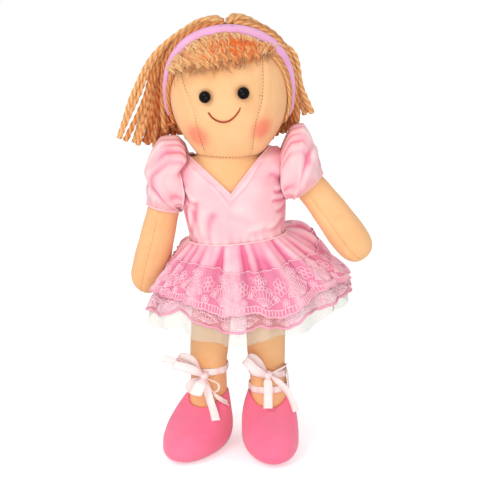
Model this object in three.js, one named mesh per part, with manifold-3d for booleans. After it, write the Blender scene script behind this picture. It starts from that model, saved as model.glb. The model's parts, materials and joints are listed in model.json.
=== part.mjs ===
// Rag doll standing on its soles: stuffed cloth body, yarn hair, satin dress with lace tiers.
// Millimetres, +X to the viewer's right, -Y to the front, +Z up.
import * as THREE from 'three';
import { mergeVertices } from 'three/addons/utils/BufferGeometryUtils.js';
import Module from 'manifold-3d';

// Shared clearances
const seatGap = 0.3; // gap between a sewn piece and what carries it
const weldDistance = 0.004; // points closer than this become one
const cutOverrun = 5; // how far a cutting solid passes the faces that it cuts

// Stance
const waistHeight = 172; // waist seam above the floor
const waistShift = -2; // waist seam beside the middle of the feet
const leanAngle = THREE.MathUtils.degToRad(5.2); // how far the upper body leans

// Trunk, measured from the waist seam
const trunkDrop = 50;
const trunkRise = 65;
const trunkWidth = 84;
const trunkDepth = 60;
const neckPivotRise = 56.3;
const neckPivotShift = -1.2;
const neckRadius = 26; // ball of the neck that the head turns on
const neckCupGap = 1; // running clearance between the faceted ball and its cup

// Neck stuffing
const neckWadRadius = 6;
const neckWadRise = 40; // top of the wad above the neck pivot
const nodAngle = THREE.MathUtils.degToRad(15);
const nodSpareAngle = THREE.MathUtils.degToRad(3);

// Head, measured from the neck pivot
const headWidth = 91;
const headDepth = 81;
const headTopRise = 103;
const headWidestRise = 57;
const headRimRise = 10; // neck seam
const headRimRadius = 25.8;

// Face, measured beside and above the neck pivot
const eyeRadius = 4.4;
const eyeDomeDepth = 3.4;
const leftEyeShift = -16.2;
const leftEyeRise = 56;
const rightEyeShift = 10.2;
const rightEyeRise = 59;
const shankRadius = 1.3;
const shankLength = 9;
const washerRadius = 5;
const washerThickness = 1;
const washerDepth = 6; // washer's place behind the face
const smileThread = 1.1;
const smileLeftShift = -14.6;
const smileLeftRise = 45;
const smileLowShift = -3.5;
const smileLowRise = 37;
const smileRightShift = 8.4;
const smileRightRise = 48.5;

// Headband
const bandWidth = 4.5;
const bandThickness = 1.2;
const bandGap = 0.4;
const bandTilt = THREE.MathUtils.degToRad(19);
const bandForward = 9; // how far the band's plane passes in front of the neck axis, at its centre
const bandCentreRise = 83;
const bandEndRise = 48; // the band's ends are sewn in under the side hair

// Hair
const yarnPad = 9; // thickness of the yarn on the crown
const fringePad = 6;
const fringeHemRise = 76; // forehead below the fringe starts here
const faceOpeningHalf = 46;
const faceOpeningDrop = 47;
const lockRadius = 5;
const backHairHemRise = 16;

// Arms
const shoulderRise = 47; // shoulder hinge above the waist seam
const armRadius = 13.4;
const armDepthRadius = 12.6;
const armRootLength = 6; // level stretch at the shoulder seam
const armCapLength = 15; // stretch under the sleeve
const upperArmLength = 33;
const leftForearmLength = 48;
const rightForearmLength = 38; // drawn up a little by its seam
const leftCapSpread = THREE.MathUtils.degToRad(17);
const leftArmSpread = THREE.MathUtils.degToRad(18);
const leftForearmSpread = THREE.MathUtils.degToRad(19);
const leftArmAhead = THREE.MathUtils.degToRad(-9);
const rightCapSpread = THREE.MathUtils.degToRad(40);
const rightArmSpread = THREE.MathUtils.degToRad(33);
const rightForearmSpread = THREE.MathUtils.degToRad(31);
const rightArmAhead = THREE.MathUtils.degToRad(14);

// Dress bodice and sleeves
const satin = 1.2; // thickness of the lined satin
const bodiceGap = 0.4;
const neckline = 29.5; // neckline's radius about the neck pivot
const neckTipDrop = 17.6; // V-neck's tip below the neck pivot
const neckTipHalf = 31; // half width of the V at its top
const armholeRadius = 17.5;
const armpitRise = 26; // lowest point of the armhole above the waist seam
const armholeTopReach = 36; // top of the armhole above the armpit
const sleeveCapReach = 57; // top of the puff above the armpit
const sleeveDepth = 26; // half depth of the puff
const leftSleeveLength = 28; // hem's place along the arm
const rightSleeveLength = 22;
const sleeveHemGap = 0.5;
const waistTrimRadius = 1.1;

// Back fastening
const closureWidth = 12;
const closureLength = 44;
const closureThickness = 0.9;
const closureDrop = 4; // lower end of the strips above the waist seam

// Waist
const waistEase = 2.4; // skirt seam outside the trunk's waist
const trimSpare = 0.4; // slack of the piping round the bodice

// Skirt layers, measured from the waist seam
const skirtWidth = 172;
const skirtDepth = 138;
const skirtShift = 2; // hem's middle beside the waist's middle
const layerTopPitch = 1.7; // from one skirt layer to the next at the waist
const layerHemPitch = 3; // and at the petticoat's hem
const innerLayerStart = 6; // where the under layers leave the overskirt
const gatherDrop = 16; // where the gathers open out
const upperLaceStart = 21;
const satinSkirtDrop = 27;
const upperLaceDrop = 41;
const lowerLaceDrop = 57;
const petticoatDrop = 73;
const clothThickness = 0.9;
const pleatDepth = 3.6;
const pleatCount = 9;
const sideRiseShare = 0.18; // how far the hems rise at the sides, as a share of the drop
const armDentDepth = 20; // where the hanging arm presses the skirt in
const armDentAngle = THREE.MathUtils.degToRad(162);
const armDentSpread = 0.25; // square of the dent's half angle, in radians

// Legs
const hipHeight = 125;
const leftHipShift = -22;
const rightHipShift = 19;
const leftAnkleShift = -25.7;
const rightAnkleShift = 22.5;
const legRadius = 15.6;
const kneeHeight = 84;
const kneeRadius = 15.2;
const ankleHeight = 48;
const ankleRadius = 14.7;
const footEndRadius = 10.3; // end of the leg inside the shoe
const legBottomHeight = 27;

// Feet
const soleThickness = 1.5;
const soleInset = 1;
const shoeHeight = 43;
const shoeToe = 57;
const shoeHeel = 24;
const shoeWidth = 44;
const leftFootTurn = THREE.MathUtils.degToRad(-27);
const rightFootTurn = THREE.MathUtils.degToRad(5);

// Ankle ribbons
const ribbonWidth = 6;
const ribbonThickness = 0.9;
const ribbonGap = 0.7; // the leg is a little fuller than at the ankle
const leftWrapHeight = 64;
const rightWrapHeight = 62;
const strapHeight = 49; // the right ribbon passes round the ankle once more
const bowKnotRadius = 3.8;
const bowPinch = 0.45; // the ribbon is drawn in at the knot to this share of its width
const leftBowTurn = THREE.MathUtils.degToRad(-14);
const rightBowTurn = THREE.MathUtils.degToRad(-4);
const loopLength = 20;
const tailLength = 30;

const wasm = await Module();
wasm.setup();

const axisX = new THREE.Vector3(1, 0, 0);
const axisY = new THREE.Vector3(0, 1, 0);
const axisZ = new THREE.Vector3(0, 0, 1);

// Solids from closed geometry, and back with the shortest edges welded shut
function solidOf(geometry) {
  const bare = geometry.clone();
  bare.deleteAttribute('normal');
  bare.deleteAttribute('uv');
  const merged = mergeVertices(bare);
  const vertProperties = new Float32Array(merged.attributes.position.array);
  const triVerts = new Uint32Array(merged.index.array);
  return new wasm.Manifold(new wasm.Mesh({ numProp: 3, vertProperties, triVerts }));
}

function geometryOf(solid) {
  const mesh = solid.getMesh();
  const geometry = new THREE.BufferGeometry();
  geometry.setAttribute('position', new THREE.BufferAttribute(mesh.vertProperties, 3));
  geometry.setIndex(new THREE.BufferAttribute(mesh.triVerts, 1));
  const welded = mergeVertices(geometry, weldDistance);
  const corners = welded.index.array;
  const kept = [];
  for (let i = 0; i < corners.length; i += 3) {
    const [a, b, c] = [corners[i], corners[i + 1], corners[i + 2]];
    if (a !== b && b !== c && c !== a) {
      kept.push(a, b, c);
    }
  }
  welded.setIndex(kept);
  welded.computeVertexNormals();
  return welded;
}

function joined(solids) {
  return solids.reduce((whole, solid) => whole.add(solid));
}

function without(solid, cutters) {
  return cutters.reduce((rest, cutter) => rest.subtract(cutter), solid);
}

function placed(geometry, matrix) {
  return geometry.clone().applyMatrix4(matrix);
}

function box(width, depth, height, x, y, z) {
  return new THREE.BoxGeometry(width, depth, height).translate(x, y, z);
}

function cylinderAlong(axis, radius, length, centre, sides) {
  const turn = new THREE.Quaternion().setFromUnitVectors(axisY, axis);
  const geometry = new THREE.CylinderGeometry(radius, radius, length, sides);
  geometry.applyQuaternion(turn);
  return geometry.translate(centre.x, centre.y, centre.z);
}

// One ring of points: an oval with half sizes along two axes
function ring(centre, across, along, acrossHalf, alongHalf, sides) {
  const points = [];
  for (let i = 0; i < sides; i += 1) {
    const angle = (2 * Math.PI * i) / sides;
    const point = centre.clone();
    point.addScaledVector(across, acrossHalf * Math.cos(angle));
    point.addScaledVector(along, alongHalf * Math.sin(angle));
    points.push(point);
  }
  return points;
}

function sideFaces(rings, closed) {
  const count = rings[0].length;
  const faces = [];
  const last = closed ? rings.length : rings.length - 1;
  for (let k = 0; k < last; k += 1) {
    const lower = k * count;
    const upper = ((k + 1) % rings.length) * count;
    for (let i = 0; i < count; i += 1) {
      const next = (i + 1) % count;
      faces.push(lower + i, lower + next, upper + next);
      faces.push(lower + i, upper + next, upper + i);
    }
  }
  return faces;
}

function geometryFrom(points, faces) {
  const geometry = new THREE.BufferGeometry().setFromPoints(points);
  geometry.setIndex(faces);
  geometry.computeVertexNormals();
  return geometry;
}

// A stuffed form: rings from one end to the other, with closed ends
function stuffed(rings) {
  const count = rings[0].length;
  const points = rings.flat();
  const faces = sideFaces(rings, false);
  const ends = [rings[0], rings[rings.length - 1]];
  ends.forEach((end, which) => {
    const middle = new THREE.Vector3();
    end.forEach((point) => middle.addScaledVector(point, 1 / count));
    const hub = points.length;
    points.push(middle);
    const first = which === 0 ? 0 : (rings.length - 1) * count;
    for (let i = 0; i < count; i += 1) {
      const next = (i + 1) % count;
      if (which === 0) {
        faces.push(hub, first + next, first + i);
      } else {
        faces.push(hub, first + i, first + next);
      }
    }
  });
  return geometryFrom(points, faces);
}

// A cloth shell open at both ends: outer rings down the outside, inner rings back
function clothShell(outerRings, innerRings) {
  const rings = outerRings.concat(innerRings.slice().reverse());
  return geometryFrom(rings.flat(), sideFaces(rings, true));
}

// A closed solid between two facing grids of points
function slab(front, back) {
  const rows = front.length;
  const count = front[0].length;
  const points = front.flat().concat(back.flat());
  const under = rows * count;
  const faces = [];
  const quad = (a, b, c, d) => faces.push(a, b, c, a, c, d);
  for (let v = 0; v < rows - 1; v += 1) {
    for (let u = 0; u < count - 1; u += 1) {
      const corner = v * count + u;
      quad(corner, corner + 1, corner + count + 1, corner + count);
      const below = under + corner;
      quad(below, below + count, below + count + 1, below + 1);
    }
    const left = v * count;
    const right = left + count - 1;
    quad(left, left + count, under + left + count, under + left);
    quad(right, under + right, under + right + count, right + count);
  }
  for (let u = 0; u < count - 1; u += 1) {
    const last = (rows - 1) * count + u;
    quad(u, under + u, under + u + 1, u + 1);
    quad(last, last + 1, under + last + 1, under + last);
  }
  return geometryFrom(points, faces);
}

// A stuffed form swept along a curve; its half sizes follow the way along it
function swept(curve, reference, acrossAt, alongAt, steps, sides) {
  const rings = [];
  for (let k = 0; k <= steps; k += 1) {
    const way = k / steps;
    const tangent = curve.getTangent(way);
    const across = reference.clone().addScaledVector(tangent, -reference.dot(tangent)).normalize();
    const along = new THREE.Vector3().crossVectors(tangent, across);
    rings.push(ring(curve.getPoint(way), across, along, acrossAt(way), alongAt(way), sides));
  }
  return stuffed(rings);
}

const skin = { color: 0xf1bd88, roughness: 0.9, metalness: 0 };
const pinkSatin = { color: 0xf7c0d0, roughness: 0.4, metalness: 0 };
const lace = { color: 0xf28fb8, roughness: 0.8, metalness: 0 };
const tulle = { color: 0xd9cfc2, roughness: 0.9, metalness: 0 };
const yarn = { color: 0xd98f55, roughness: 0.95, metalness: 0 };
const jersey = { color: 0xfc6f97, roughness: 0.9, metalness: 0 };
const paleRibbon = { color: 0xf7dcd8, roughness: 0.4, metalness: 0 };
const lilacRibbon = { color: 0xe3a3d0, roughness: 0.4, metalness: 0 };
const blackPlastic = { color: 0x0b0a0c, roughness: 0.15, metalness: 0 };
const whitePlastic = { color: 0xeeeeea, roughness: 0.4, metalness: 0 };
const redThread = { color: 0xa8401f, roughness: 0.7, metalness: 0 };
const wadding = { color: 0xf4f2ee, roughness: 1, metalness: 0 };

function part(name, shape, look) {
  const geometry = shape.isBufferGeometry ? shape : geometryOf(shape);
  const mesh = new THREE.Mesh(geometry, new THREE.MeshStandardMaterial(look));
  mesh.name = name;
  return mesh;
}

const doll = new THREE.Group();
const upperBody = new THREE.Group();
upperBody.position.set(waistShift, 0, waistHeight);
upperBody.rotation.y = -leanAngle;
doll.add(upperBody);

// The head stands upright on the leaning neck, so its group turns the lean back
const headGroup = new THREE.Group();
headGroup.position.set(neckPivotShift, 0, neckPivotRise);
headGroup.rotation.y = leanAngle;
upperBody.add(headGroup);
doll.updateMatrixWorld(true);
const intoUpperBody = upperBody.matrixWorld.clone().invert();

// Head: widest at the eyes, drawn in to the neck seam, round on top
const headSides = 24;
const headRings = 12;
const crownPower = 2.2;

function headHalf(fullHalf, rise) {
  if (rise >= headWidestRise) {
    const way = Math.min(1, (rise - headWidestRise) / (headTopRise - headWidestRise));
    return fullHalf * Math.pow(1 - Math.pow(way, crownPower), 1 / crownPower);
  }
  const way = (headWidestRise - rise) / (headWidestRise - headRimRise);
  return fullHalf - (fullHalf - headRimRadius) * way * way;
}

function headForm(grow) {
  const rings = [];
  const lastShare = 0.995;
  for (let k = 0; k < headRings; k += 1) {
    const angle = (Math.PI / 2) * lastShare * (k / (headRings - 1));
    const rise = headRimRise + (headTopRise - headRimRise) * Math.sin(angle);
    const level = new THREE.Vector3(0, 0, rise + grow * Math.sin(angle));
    const acrossHalf = headHalf(headWidth / 2, rise) + grow;
    const alongHalf = headHalf(headDepth / 2, rise) + grow;
    rings.push(ring(level, axisX, axisY, acrossHalf, alongHalf, headSides));
  }
  return solidOf(stuffed(rings));
}

// The face's place in front of the neck axis at a given shift and rise
function faceForward(shift, rise) {
  const share = Math.min(1, Math.abs(shift) / headHalf(headWidth / 2, rise));
  return -headHalf(headDepth / 2, rise) * Math.sqrt(1 - share * share);
}

const neckSides = 24;
const neckCore = solidOf(new THREE.SphereGeometry(neckRadius, neckSides, neckSides / 2));
const neckCup = solidOf(new THREE.SphereGeometry(neckRadius + neckCupGap, neckSides, neckSides / 2));

function wadForm(grow) {
  const top = new THREE.Vector3(0, 0, neckWadRise / 2);
  const stem = cylinderAlong(axisZ, neckWadRadius + grow, neckWadRise + 2 * grow, top, 16);
  const foot = new THREE.SphereGeometry(neckWadRadius + grow, 16, 8);
  return solidOf(stem).add(solidOf(foot));
}

// Eyes: a glossy bead on a shank, held inside the head by a washer
const eyePlaces = [
  { side: 'left', shift: leftEyeShift, rise: leftEyeRise },
  { side: 'right', shift: rightEyeShift, rise: rightEyeRise },
];

function eyeFrame(place) {
  const forward = faceForward(place.shift, place.rise);
  const outward = new THREE.Vector3(place.shift / headWidth, forward / headDepth, 0).normalize();
  const turn = new THREE.Quaternion().setFromUnitVectors(axisZ, outward);
  const surface = new THREE.Vector3(place.shift, forward, place.rise);
  return new THREE.Matrix4().compose(surface, turn, new THREE.Vector3(1, 1, 1));
}

function eyeForm() {
  const flatten = new THREE.Matrix4().makeScale(1, 1, eyeDomeDepth / eyeRadius);
  const bead = placed(new THREE.SphereGeometry(eyeRadius, 12, 8), flatten);
  bead.translate(0, 0, eyeDomeDepth + seatGap);
  const middle = new THREE.Vector3(0, 0, seatGap + eyeDomeDepth - shankLength / 2);
  const shank = cylinderAlong(axisZ, shankRadius, shankLength, middle, 8);
  return solidOf(bead).add(solidOf(shank));
}

function washerForm(grow) {
  const middle = new THREE.Vector3(0, 0, -washerDepth);
  const height = washerThickness + 2 * grow;
  return solidOf(cylinderAlong(axisZ, washerRadius + grow, height, middle, 12));
}

function shankBore(grow) {
  const middle = new THREE.Vector3(0, 0, cutOverrun - washerDepth);
  const length = 2 * washerDepth;
  return solidOf(cylinderAlong(axisZ, shankRadius + grow, length, middle, 8));
}

// The end of the shank clears the floor of the washer's pocket
const pocketDepth = shankLength - eyeDomeDepth - washerDepth + 4 * seatGap;
const headCutters = [neckCup, wadForm(seatGap)];
eyePlaces.forEach((place) => {
  const frame = eyeFrame(place);
  const middle = new THREE.Vector3(0, 0, -washerDepth);
  const pocket = cylinderAlong(axisZ, washerRadius + seatGap, 2 * pocketDepth, middle, 12);
  headCutters.push(solidOf(placed(pocket, frame)));
  headCutters.push(solidOf(placed(geometryOf(shankBore(seatGap)), frame)));
  const eye = placed(geometryOf(eyeForm()), frame);
  headGroup.add(part('eye_' + place.side, eye, blackPlastic));
  const washer = placed(geometryOf(without(washerForm(0), [shankBore(seatGap)])), frame);
  headGroup.add(part('eye_washer_' + place.side, washer, whitePlastic));
});
headGroup.add(part('head', without(headForm(0), headCutters), skin));
headGroup.add(part('neck_stuffing', wadForm(0), wadding));

// Smile: one couched thread that follows the face
function smileForm() {
  const left = new THREE.Vector3(smileLeftShift, 0, smileLeftRise);
  const right = new THREE.Vector3(smileRightShift, 0, smileRightRise);
  const low = new THREE.Vector3(smileLowShift, 0, smileLowRise);
  const pull = low.multiplyScalar(2).addScaledVector(left, -1 / 2).addScaledVector(right, -1 / 2);
  const flat = new THREE.QuadraticBezierCurve3(left, pull, right);
  const points = flat.getPoints(12).map((point) => {
    const forward = faceForward(point.x, point.z) - smileThread / 2 - seatGap;
    return new THREE.Vector3(point.x, forward, point.z);
  });
  const route = new THREE.CatmullRomCurve3(points);
  const section = new THREE.Shape().absarc(0, 0, smileThread / 2, 0, 2 * Math.PI);
  return new THREE.ExtrudeGeometry(section, {
    steps: 14,
    curveSegments: 3,
    bevelEnabled: false,
    extrudePath: route,
  });
}
headGroup.add(part('smile_thread', solidOf(smileForm()), redThread));

// Planes that divide what lies on the head
const reach = 2 * headTopRise;
const bandMatrix = new THREE.Matrix4().makeRotationX(bandTilt);
bandMatrix.setPosition(0, -bandForward, bandCentreRise);

function bandSlab(front, back) {
  return solidOf(placed(box(reach, back - front, reach, 0, (front + back) / 2, 0), bandMatrix));
}

// Headband: a ring of ribbon round the head
const bandOuter = headForm(bandGap + bandThickness);
const bandRing = without(bandOuter, [headForm(bandGap)]);
const headband = bandRing.intersect(bandSlab(-bandWidth / 2, bandWidth / 2));
const bandFloor = solidOf(box(reach, reach, reach, 0, 0, bandEndRise - reach / 2));
headGroup.add(part('headband', without(headband, [bandFloor]), lilacRibbon));

// Fringe: short yarn tufts in front of the band, open over the face
function faceOpening() {
  const middle = new THREE.Vector3(0, -headDepth / 2, 0);
  const tube = cylinderAlong(axisY, 1, headDepth, middle, 28);
  tube.scale(faceOpeningHalf, 1, faceOpeningDrop);
  return solidOf(tube.translate(0, 0, fringeHemRise - faceOpeningDrop));
}

const scalp = headForm(seatGap);
const crownFloor = solidOf(box(reach, reach, reach, 0, 0, headWidestRise - reach / 2));
const frontReach = reach / 2;
const fringeShell = without(headForm(fringePad), [scalp]);
const fringeSlab = bandSlab(-frontReach, -bandWidth / 2 - seatGap);
const tuftCount = 9;
const tuftSpread = THREE.MathUtils.degToRad(104);
const tufts = [];
for (let i = 0; i < tuftCount; i += 1) {
  const angle = tuftSpread * (i / (tuftCount - 1) - 1 / 2);
  const rise = fringeHemRise - (1 - Math.cos(angle)) * faceOpeningDrop;
  const shift = faceOpeningHalf * Math.sin(angle);
  const tuft = new THREE.SphereGeometry(fringePad, 6, 5);
  tufts.push(solidOf(tuft.translate(shift, faceForward(shift, rise), rise)));
}
const fringe = joined([without(fringeShell, [faceOpening()]).intersect(fringeSlab), ...tufts]);
headGroup.add(part('fringe', without(fringe, [scalp, crownFloor]), yarn));

// Crown: yarn laid from the parting over the top and back of the head
const crownShell = without(headForm(yarnPad), [scalp]);
const crownSlab = bandSlab(bandWidth / 2 + seatGap, frontReach);
headGroup.add(part('hair_crown', without(crownShell.intersect(crownSlab), [crownFloor]), yarn));

// Back hair: the same yarn hanging to the nape
const napeHeight = headWidestRise - seatGap - backHairHemRise;
const napeLevel = backHairHemRise + napeHeight / 2;
const napeBox = solidOf(box(reach, frontReach, napeHeight, 0, frontReach / 2 + bandForward, napeLevel));
headGroup.add(part('hair_back', crownShell.intersect(napeBox), yarn));

// Side locks: hanks of yarn that leave the crown and flick outwards at the tips.
// Each row gives root, bulge, middle and tip as shares of half width, half depth and rise.
const leftLockShares = [
  [-0.6, -0.02, 1.04, -1.2, -0.02, 0.82, -1.52, 0.04, 0.53, -1.84, 0.12, 0.2],
  [-0.72, 0.06, 1.0, -1.26, 0.1, 0.74, -1.46, 0.2, 0.46, -1.72, 0.3, 0.15],
  [-0.84, 0.14, 0.94, -1.3, 0.22, 0.67, -1.38, 0.32, 0.42, -1.56, 0.42, 0.12],
  [-0.94, 0.22, 0.87, -1.29, 0.34, 0.61, -1.29, 0.44, 0.4, -1.4, 0.55, 0.1],
  [-1.0, 0.3, 0.8, -1.24, 0.44, 0.56, -1.21, 0.54, 0.36, -1.24, 0.66, 0.11],
  [-1.0, 0.4, 0.74, -1.17, 0.56, 0.51, -1.12, 0.66, 0.32, -1.08, 0.78, 0.16],
];
const rightLockShares = [
  [0.62, 0.0, 0.97, 1.08, 0.0, 0.82, 1.24, 0.1, 0.58, 1.42, 0.3, 0.38],
  [0.72, 0.14, 0.97, 1.16, 0.2, 0.72, 1.22, 0.36, 0.51, 1.3, 0.66, 0.32],
  [0.86, 0.24, 0.88, 1.18, 0.34, 0.62, 1.17, 0.52, 0.44, 1.17, 0.8, 0.25],
  [0.94, 0.34, 0.79, 1.16, 0.48, 0.56, 1.1, 0.66, 0.38, 1.04, 0.92, 0.2],
  [0.96, 0.42, 0.72, 1.1, 0.6, 0.5, 1.02, 0.8, 0.33, 0.92, 1.0, 0.18],
];

const samplesPerLock = 4;
const lockSteps = 6;
const lockPartingShare = 0.4; // thickness between two locks
const tipPartingShare = 0.16; // how far the tips part, as a share of the length

function lockPoint(row, k) {
  const x = (row[k] * headWidth) / 2;
  const y = (row[k + 1] * headDepth) / 2;
  return new THREE.Vector3(x, y, row[k + 2] * headTopRise);
}

// The bunch is a fan of locks side by side, thick at each lock and thin at each parting
function bunchForm(rows, sign) {
  const curves = rows.map((row) => {
    const points = [0, 3, 6, 9].map((k) => lockPoint(row, k));
    return new THREE.CatmullRomCurve3(points);
  });
  const front = [];
  const back = [];
  const across = samplesPerLock * rows.length;
  for (let v = 0; v <= lockSteps; v += 1) {
    const frontRow = [];
    const backRow = [];
    for (let u = 0; u <= across; u += 1) {
      const fullness = Math.abs(Math.sin((Math.PI * u) / samplesPerLock));
      const way = (v / lockSteps) * (1 - tipPartingShare * (1 - fullness));
      const between = new THREE.CatmullRomCurve3(curves.map((curve) => curve.getPoint(way)));
      const tangents = new THREE.CatmullRomCurve3(curves.map((curve) => curve.getTangent(way)));
      const downward = tangents.getPoint(u / across).multiplyScalar(sign);
      const outward = new THREE.Vector3().crossVectors(
        between.getTangent(u / across), downward).normalize();
      const half = lockRadius * (lockPartingShare + (1 - lockPartingShare) * fullness);
      const centre = between.getPoint(u / across);
      frontRow.push(centre.clone().addScaledVector(outward, half));
      backRow.push(centre.clone().addScaledVector(outward, -half));
    }
    front.push(frontRow);
    back.push(backRow);
  }
  return solidOf(slab(sign > 0 ? front : back, sign > 0 ? back : front));
}

// The bunch lies outside the crown and the back hair, and clears the head and the band below
const crownGrown = headForm(yarnPad + seatGap);
const besideFace = box(reach, reach, reach, 0, bandForward - seatGap - reach / 2,
  headWidestRise - seatGap - reach / 2);
const bandGrown = headForm(bandGap + bandThickness + seatGap);
const lockCore = without(crownGrown, [solidOf(besideFace)]).add(bandGrown);
const sideHair = { left: leftLockShares, right: rightLockShares };
Object.entries(sideHair).forEach(([side, rows]) => {
  const locks = bunchForm(rows, side === 'left' ? -1 : 1);
  headGroup.add(part('hair_' + side, without(locks, [lockCore]), yarn));
});

// Trunk: narrow at the waist, full at the chest, with the ball of the neck on top
const trunkSides = 24;
const trunkRiseShares = [-1, -0.92, -0.7, -0.35, 0, 0.4, 0.72, 0.85, 0.93, 0.98];
const trunkWidthShares = [0.62, 0.84, 0.97, 0.97, 0.84, 0.92, 1, 1, 0.96, 0.86];
const trunkDepthShares = [0.5, 0.76, 0.95, 0.96, 0.9, 0.98, 0.97, 0.84, 0.64, 0.34];

function trunkForm(grow) {
  const rings = trunkRiseShares.map((riseShare, k) => {
    const rise = riseShare * (riseShare < 0 ? trunkDrop : trunkRise);
    const level = new THREE.Vector3(0, 0, rise + grow * riseShare);
    const acrossHalf = (trunkWidthShares[k] * trunkWidth) / 2 + grow;
    const alongHalf = (trunkDepthShares[k] * trunkDepth) / 2 + grow;
    return ring(level, axisX, axisY, acrossHalf, alongHalf, trunkSides);
  });
  return solidOf(stuffed(rings));
}

function atNeck(solid) {
  const geometry = geometryOf(solid);
  return solidOf(geometry.translate(neckPivotShift, 0, neckPivotRise));
}

// Room for the neck wad to nod: a cone that opens upwards from the neck pivot
function nodRoom() {
  const swing = nodAngle + nodSpareAngle;
  const bottom = neckWadRadius + seatGap;
  const top = neckRadius + cutOverrun;
  const topRadius = top * Math.tan(swing) + bottom / Math.cos(swing);
  const profile = [
    new THREE.Vector2(0, 0),
    new THREE.Vector2(bottom / Math.cos(swing), 0),
    new THREE.Vector2(topRadius, top),
    new THREE.Vector2(0, top),
  ];
  const cone = new THREE.LatheGeometry(profile, neckSides);
  cone.rotateX(Math.PI / 2);
  const foot = new THREE.SphereGeometry(bottom / Math.cos(swing), neckSides, neckSides / 2);
  return solidOf(cone).add(solidOf(foot));
}

// Room for both legs to swing: nothing in front of the hip, a slope behind it
const backSwing = THREE.MathUtils.degToRad(22);

function legRoom() {
  const radius = legRadius + seatGap;
  const hip = new THREE.Vector3(0, 0, hipHeight);
  const channel = cylinderAlong(axisX, radius, reach, hip, 24);
  const size = trunkDrop + radius;
  const front = box(reach, size, size, 0, -size / 2, hipHeight + radius - size / 2);
  const tilt = new THREE.Matrix4().makeRotationX(Math.PI / 2 + backSwing);
  const behind = placed(box(reach, size, 2 * radius, 0, -size / 2, 0), tilt);
  behind.translate(0, 0, hipHeight);
  const room = joined([solidOf(channel), solidOf(front), solidOf(behind)]);
  return solidOf(geometryOf(room).applyMatrix4(intoUpperBody));
}

// The shoulders are hollowed where the jaw passes as the head nods
const jawCup = solidOf(new THREE.SphereGeometry(neckRadius + 2 * seatGap, neckSides, neckSides / 2));
const jaw = geometryOf(without(headForm(2 * seatGap), [jawCup]));
const jawSteps = [-1, -0.5, 0, 0.5, 1];
const jawRoom = jawSteps.map((step) => {
  const turn = new THREE.Matrix4().makeRotationY(leanAngle);
  turn.premultiply(new THREE.Matrix4().makeRotationX(step * nodAngle));
  return atNeck(solidOf(placed(jaw, turn)));
});

const torsoCutters = [atNeck(nodRoom()), legRoom(), ...jawRoom];
const torso = without(trunkForm(0).add(atNeck(neckCore)), torsoCutters);
upperBody.add(part('torso', torso, skin));

// Bodice: lined satin over the chest, cut out for the neck, the arms and the back opening
const bodiceInner = trunkForm(bodiceGap);
const bodiceOuter = trunkForm(bodiceGap + satin);
const bodiceBelow = solidOf(box(reach, reach, reach, 0, 0, -reach / 2));
const neckHole = atNeck(solidOf(new THREE.SphereGeometry(neckline, neckSides, neckSides / 2)));

function veeCutter() {
  const outline = new THREE.Shape([
    new THREE.Vector2(0, -neckTipDrop),
    new THREE.Vector2(neckTipHalf, 2 * headRimRise),
    new THREE.Vector2(-neckTipHalf, 2 * headRimRise),
  ]);
  const prism = new THREE.ExtrudeGeometry(outline, { depth: trunkDepth, bevelEnabled: false });
  prism.rotateX(Math.PI / 2);
  return solidOf(prism.translate(neckPivotShift, 0, neckPivotRise));
}

const chestShare = 0.94; // front panel between the armholes, as a share of the trunk's width
const shoulderLevel = new THREE.Vector3(0, 0, shoulderRise);
const armholes = solidOf(cylinderAlong(axisX, armholeRadius, reach, shoulderLevel, 20));
const chestCore = solidOf(box(trunkWidth * chestShare, reach, reach, 0, 0, 0));
const armholeCutter = without(armholes, [chestCore]);
const backSlit = solidOf(box(seatGap, trunkDepth, 2 * trunkRise, 0, trunkDepth / 2, 0));
const bodiceCutters = [bodiceInner, bodiceBelow, neckHole, veeCutter(), armholeCutter, backSlit];
bodiceCutters.push(...jawRoom);
upperBody.add(part('bodice', without(bodiceOuter, bodiceCutters), pinkSatin));

// Back fastening: two strips inside the overlap, shown here on the bodice's back face
const closureMiddle = closureDrop + closureLength / 2;
const closureSpacing = closureWidth / 2 + 2 * seatGap;
const stripInner = trunkForm(bodiceGap + satin + seatGap);
const stripOuter = trunkForm(bodiceGap + satin + seatGap + closureThickness);
const stripShell = without(stripOuter, [stripInner]);
['left', 'right'].forEach((side, k) => {
  const shift = (2 * k - 1) * closureSpacing;
  const strip = box(closureWidth, trunkDepth, closureLength, shift, trunkDepth / 2, closureMiddle);
  const name = 'back_closure_' + side;
  upperBody.add(part(name, stripShell.intersect(solidOf(strip)), whitePlastic));
});

// Waist trim: a padded piping over the waist seam
function ovalCurve(widthHalf, depthHalf, level) {
  const points = [];
  for (let i = 0; i < 32; i += 1) {
    const angle = (2 * Math.PI * i) / 32;
    points.push(new THREE.Vector3(widthHalf * Math.cos(angle), depthHalf * Math.sin(angle), level));
  }
  return new THREE.CatmullRomCurve3(points, true);
}

const waistRing = trunkRiseShares.indexOf(0);
const waistWidth = trunkWidthShares[waistRing] * trunkWidth;
const waistDepth = trunkDepthShares[waistRing] * trunkDepth;
const trimOut = bodiceGap + satin + seatGap + waistTrimRadius + trimSpare;
const trimWidth = waistWidth / 2 + trimOut;
const trimDepth = waistDepth / 2 + trimOut;
const trimCurve = ovalCurve(trimWidth, trimDepth, waistTrimRadius);
const trimSection = new THREE.Shape().absarc(0, 0, waistTrimRadius, 0, 2 * Math.PI);
const trimForm = new THREE.ExtrudeGeometry(trimSection, {
  steps: 32,
  curveSegments: 2,
  bevelEnabled: false,
  extrudePath: trimCurve,
});
upperBody.add(part('waist_piping', solidOf(trimForm), pinkSatin));

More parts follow.
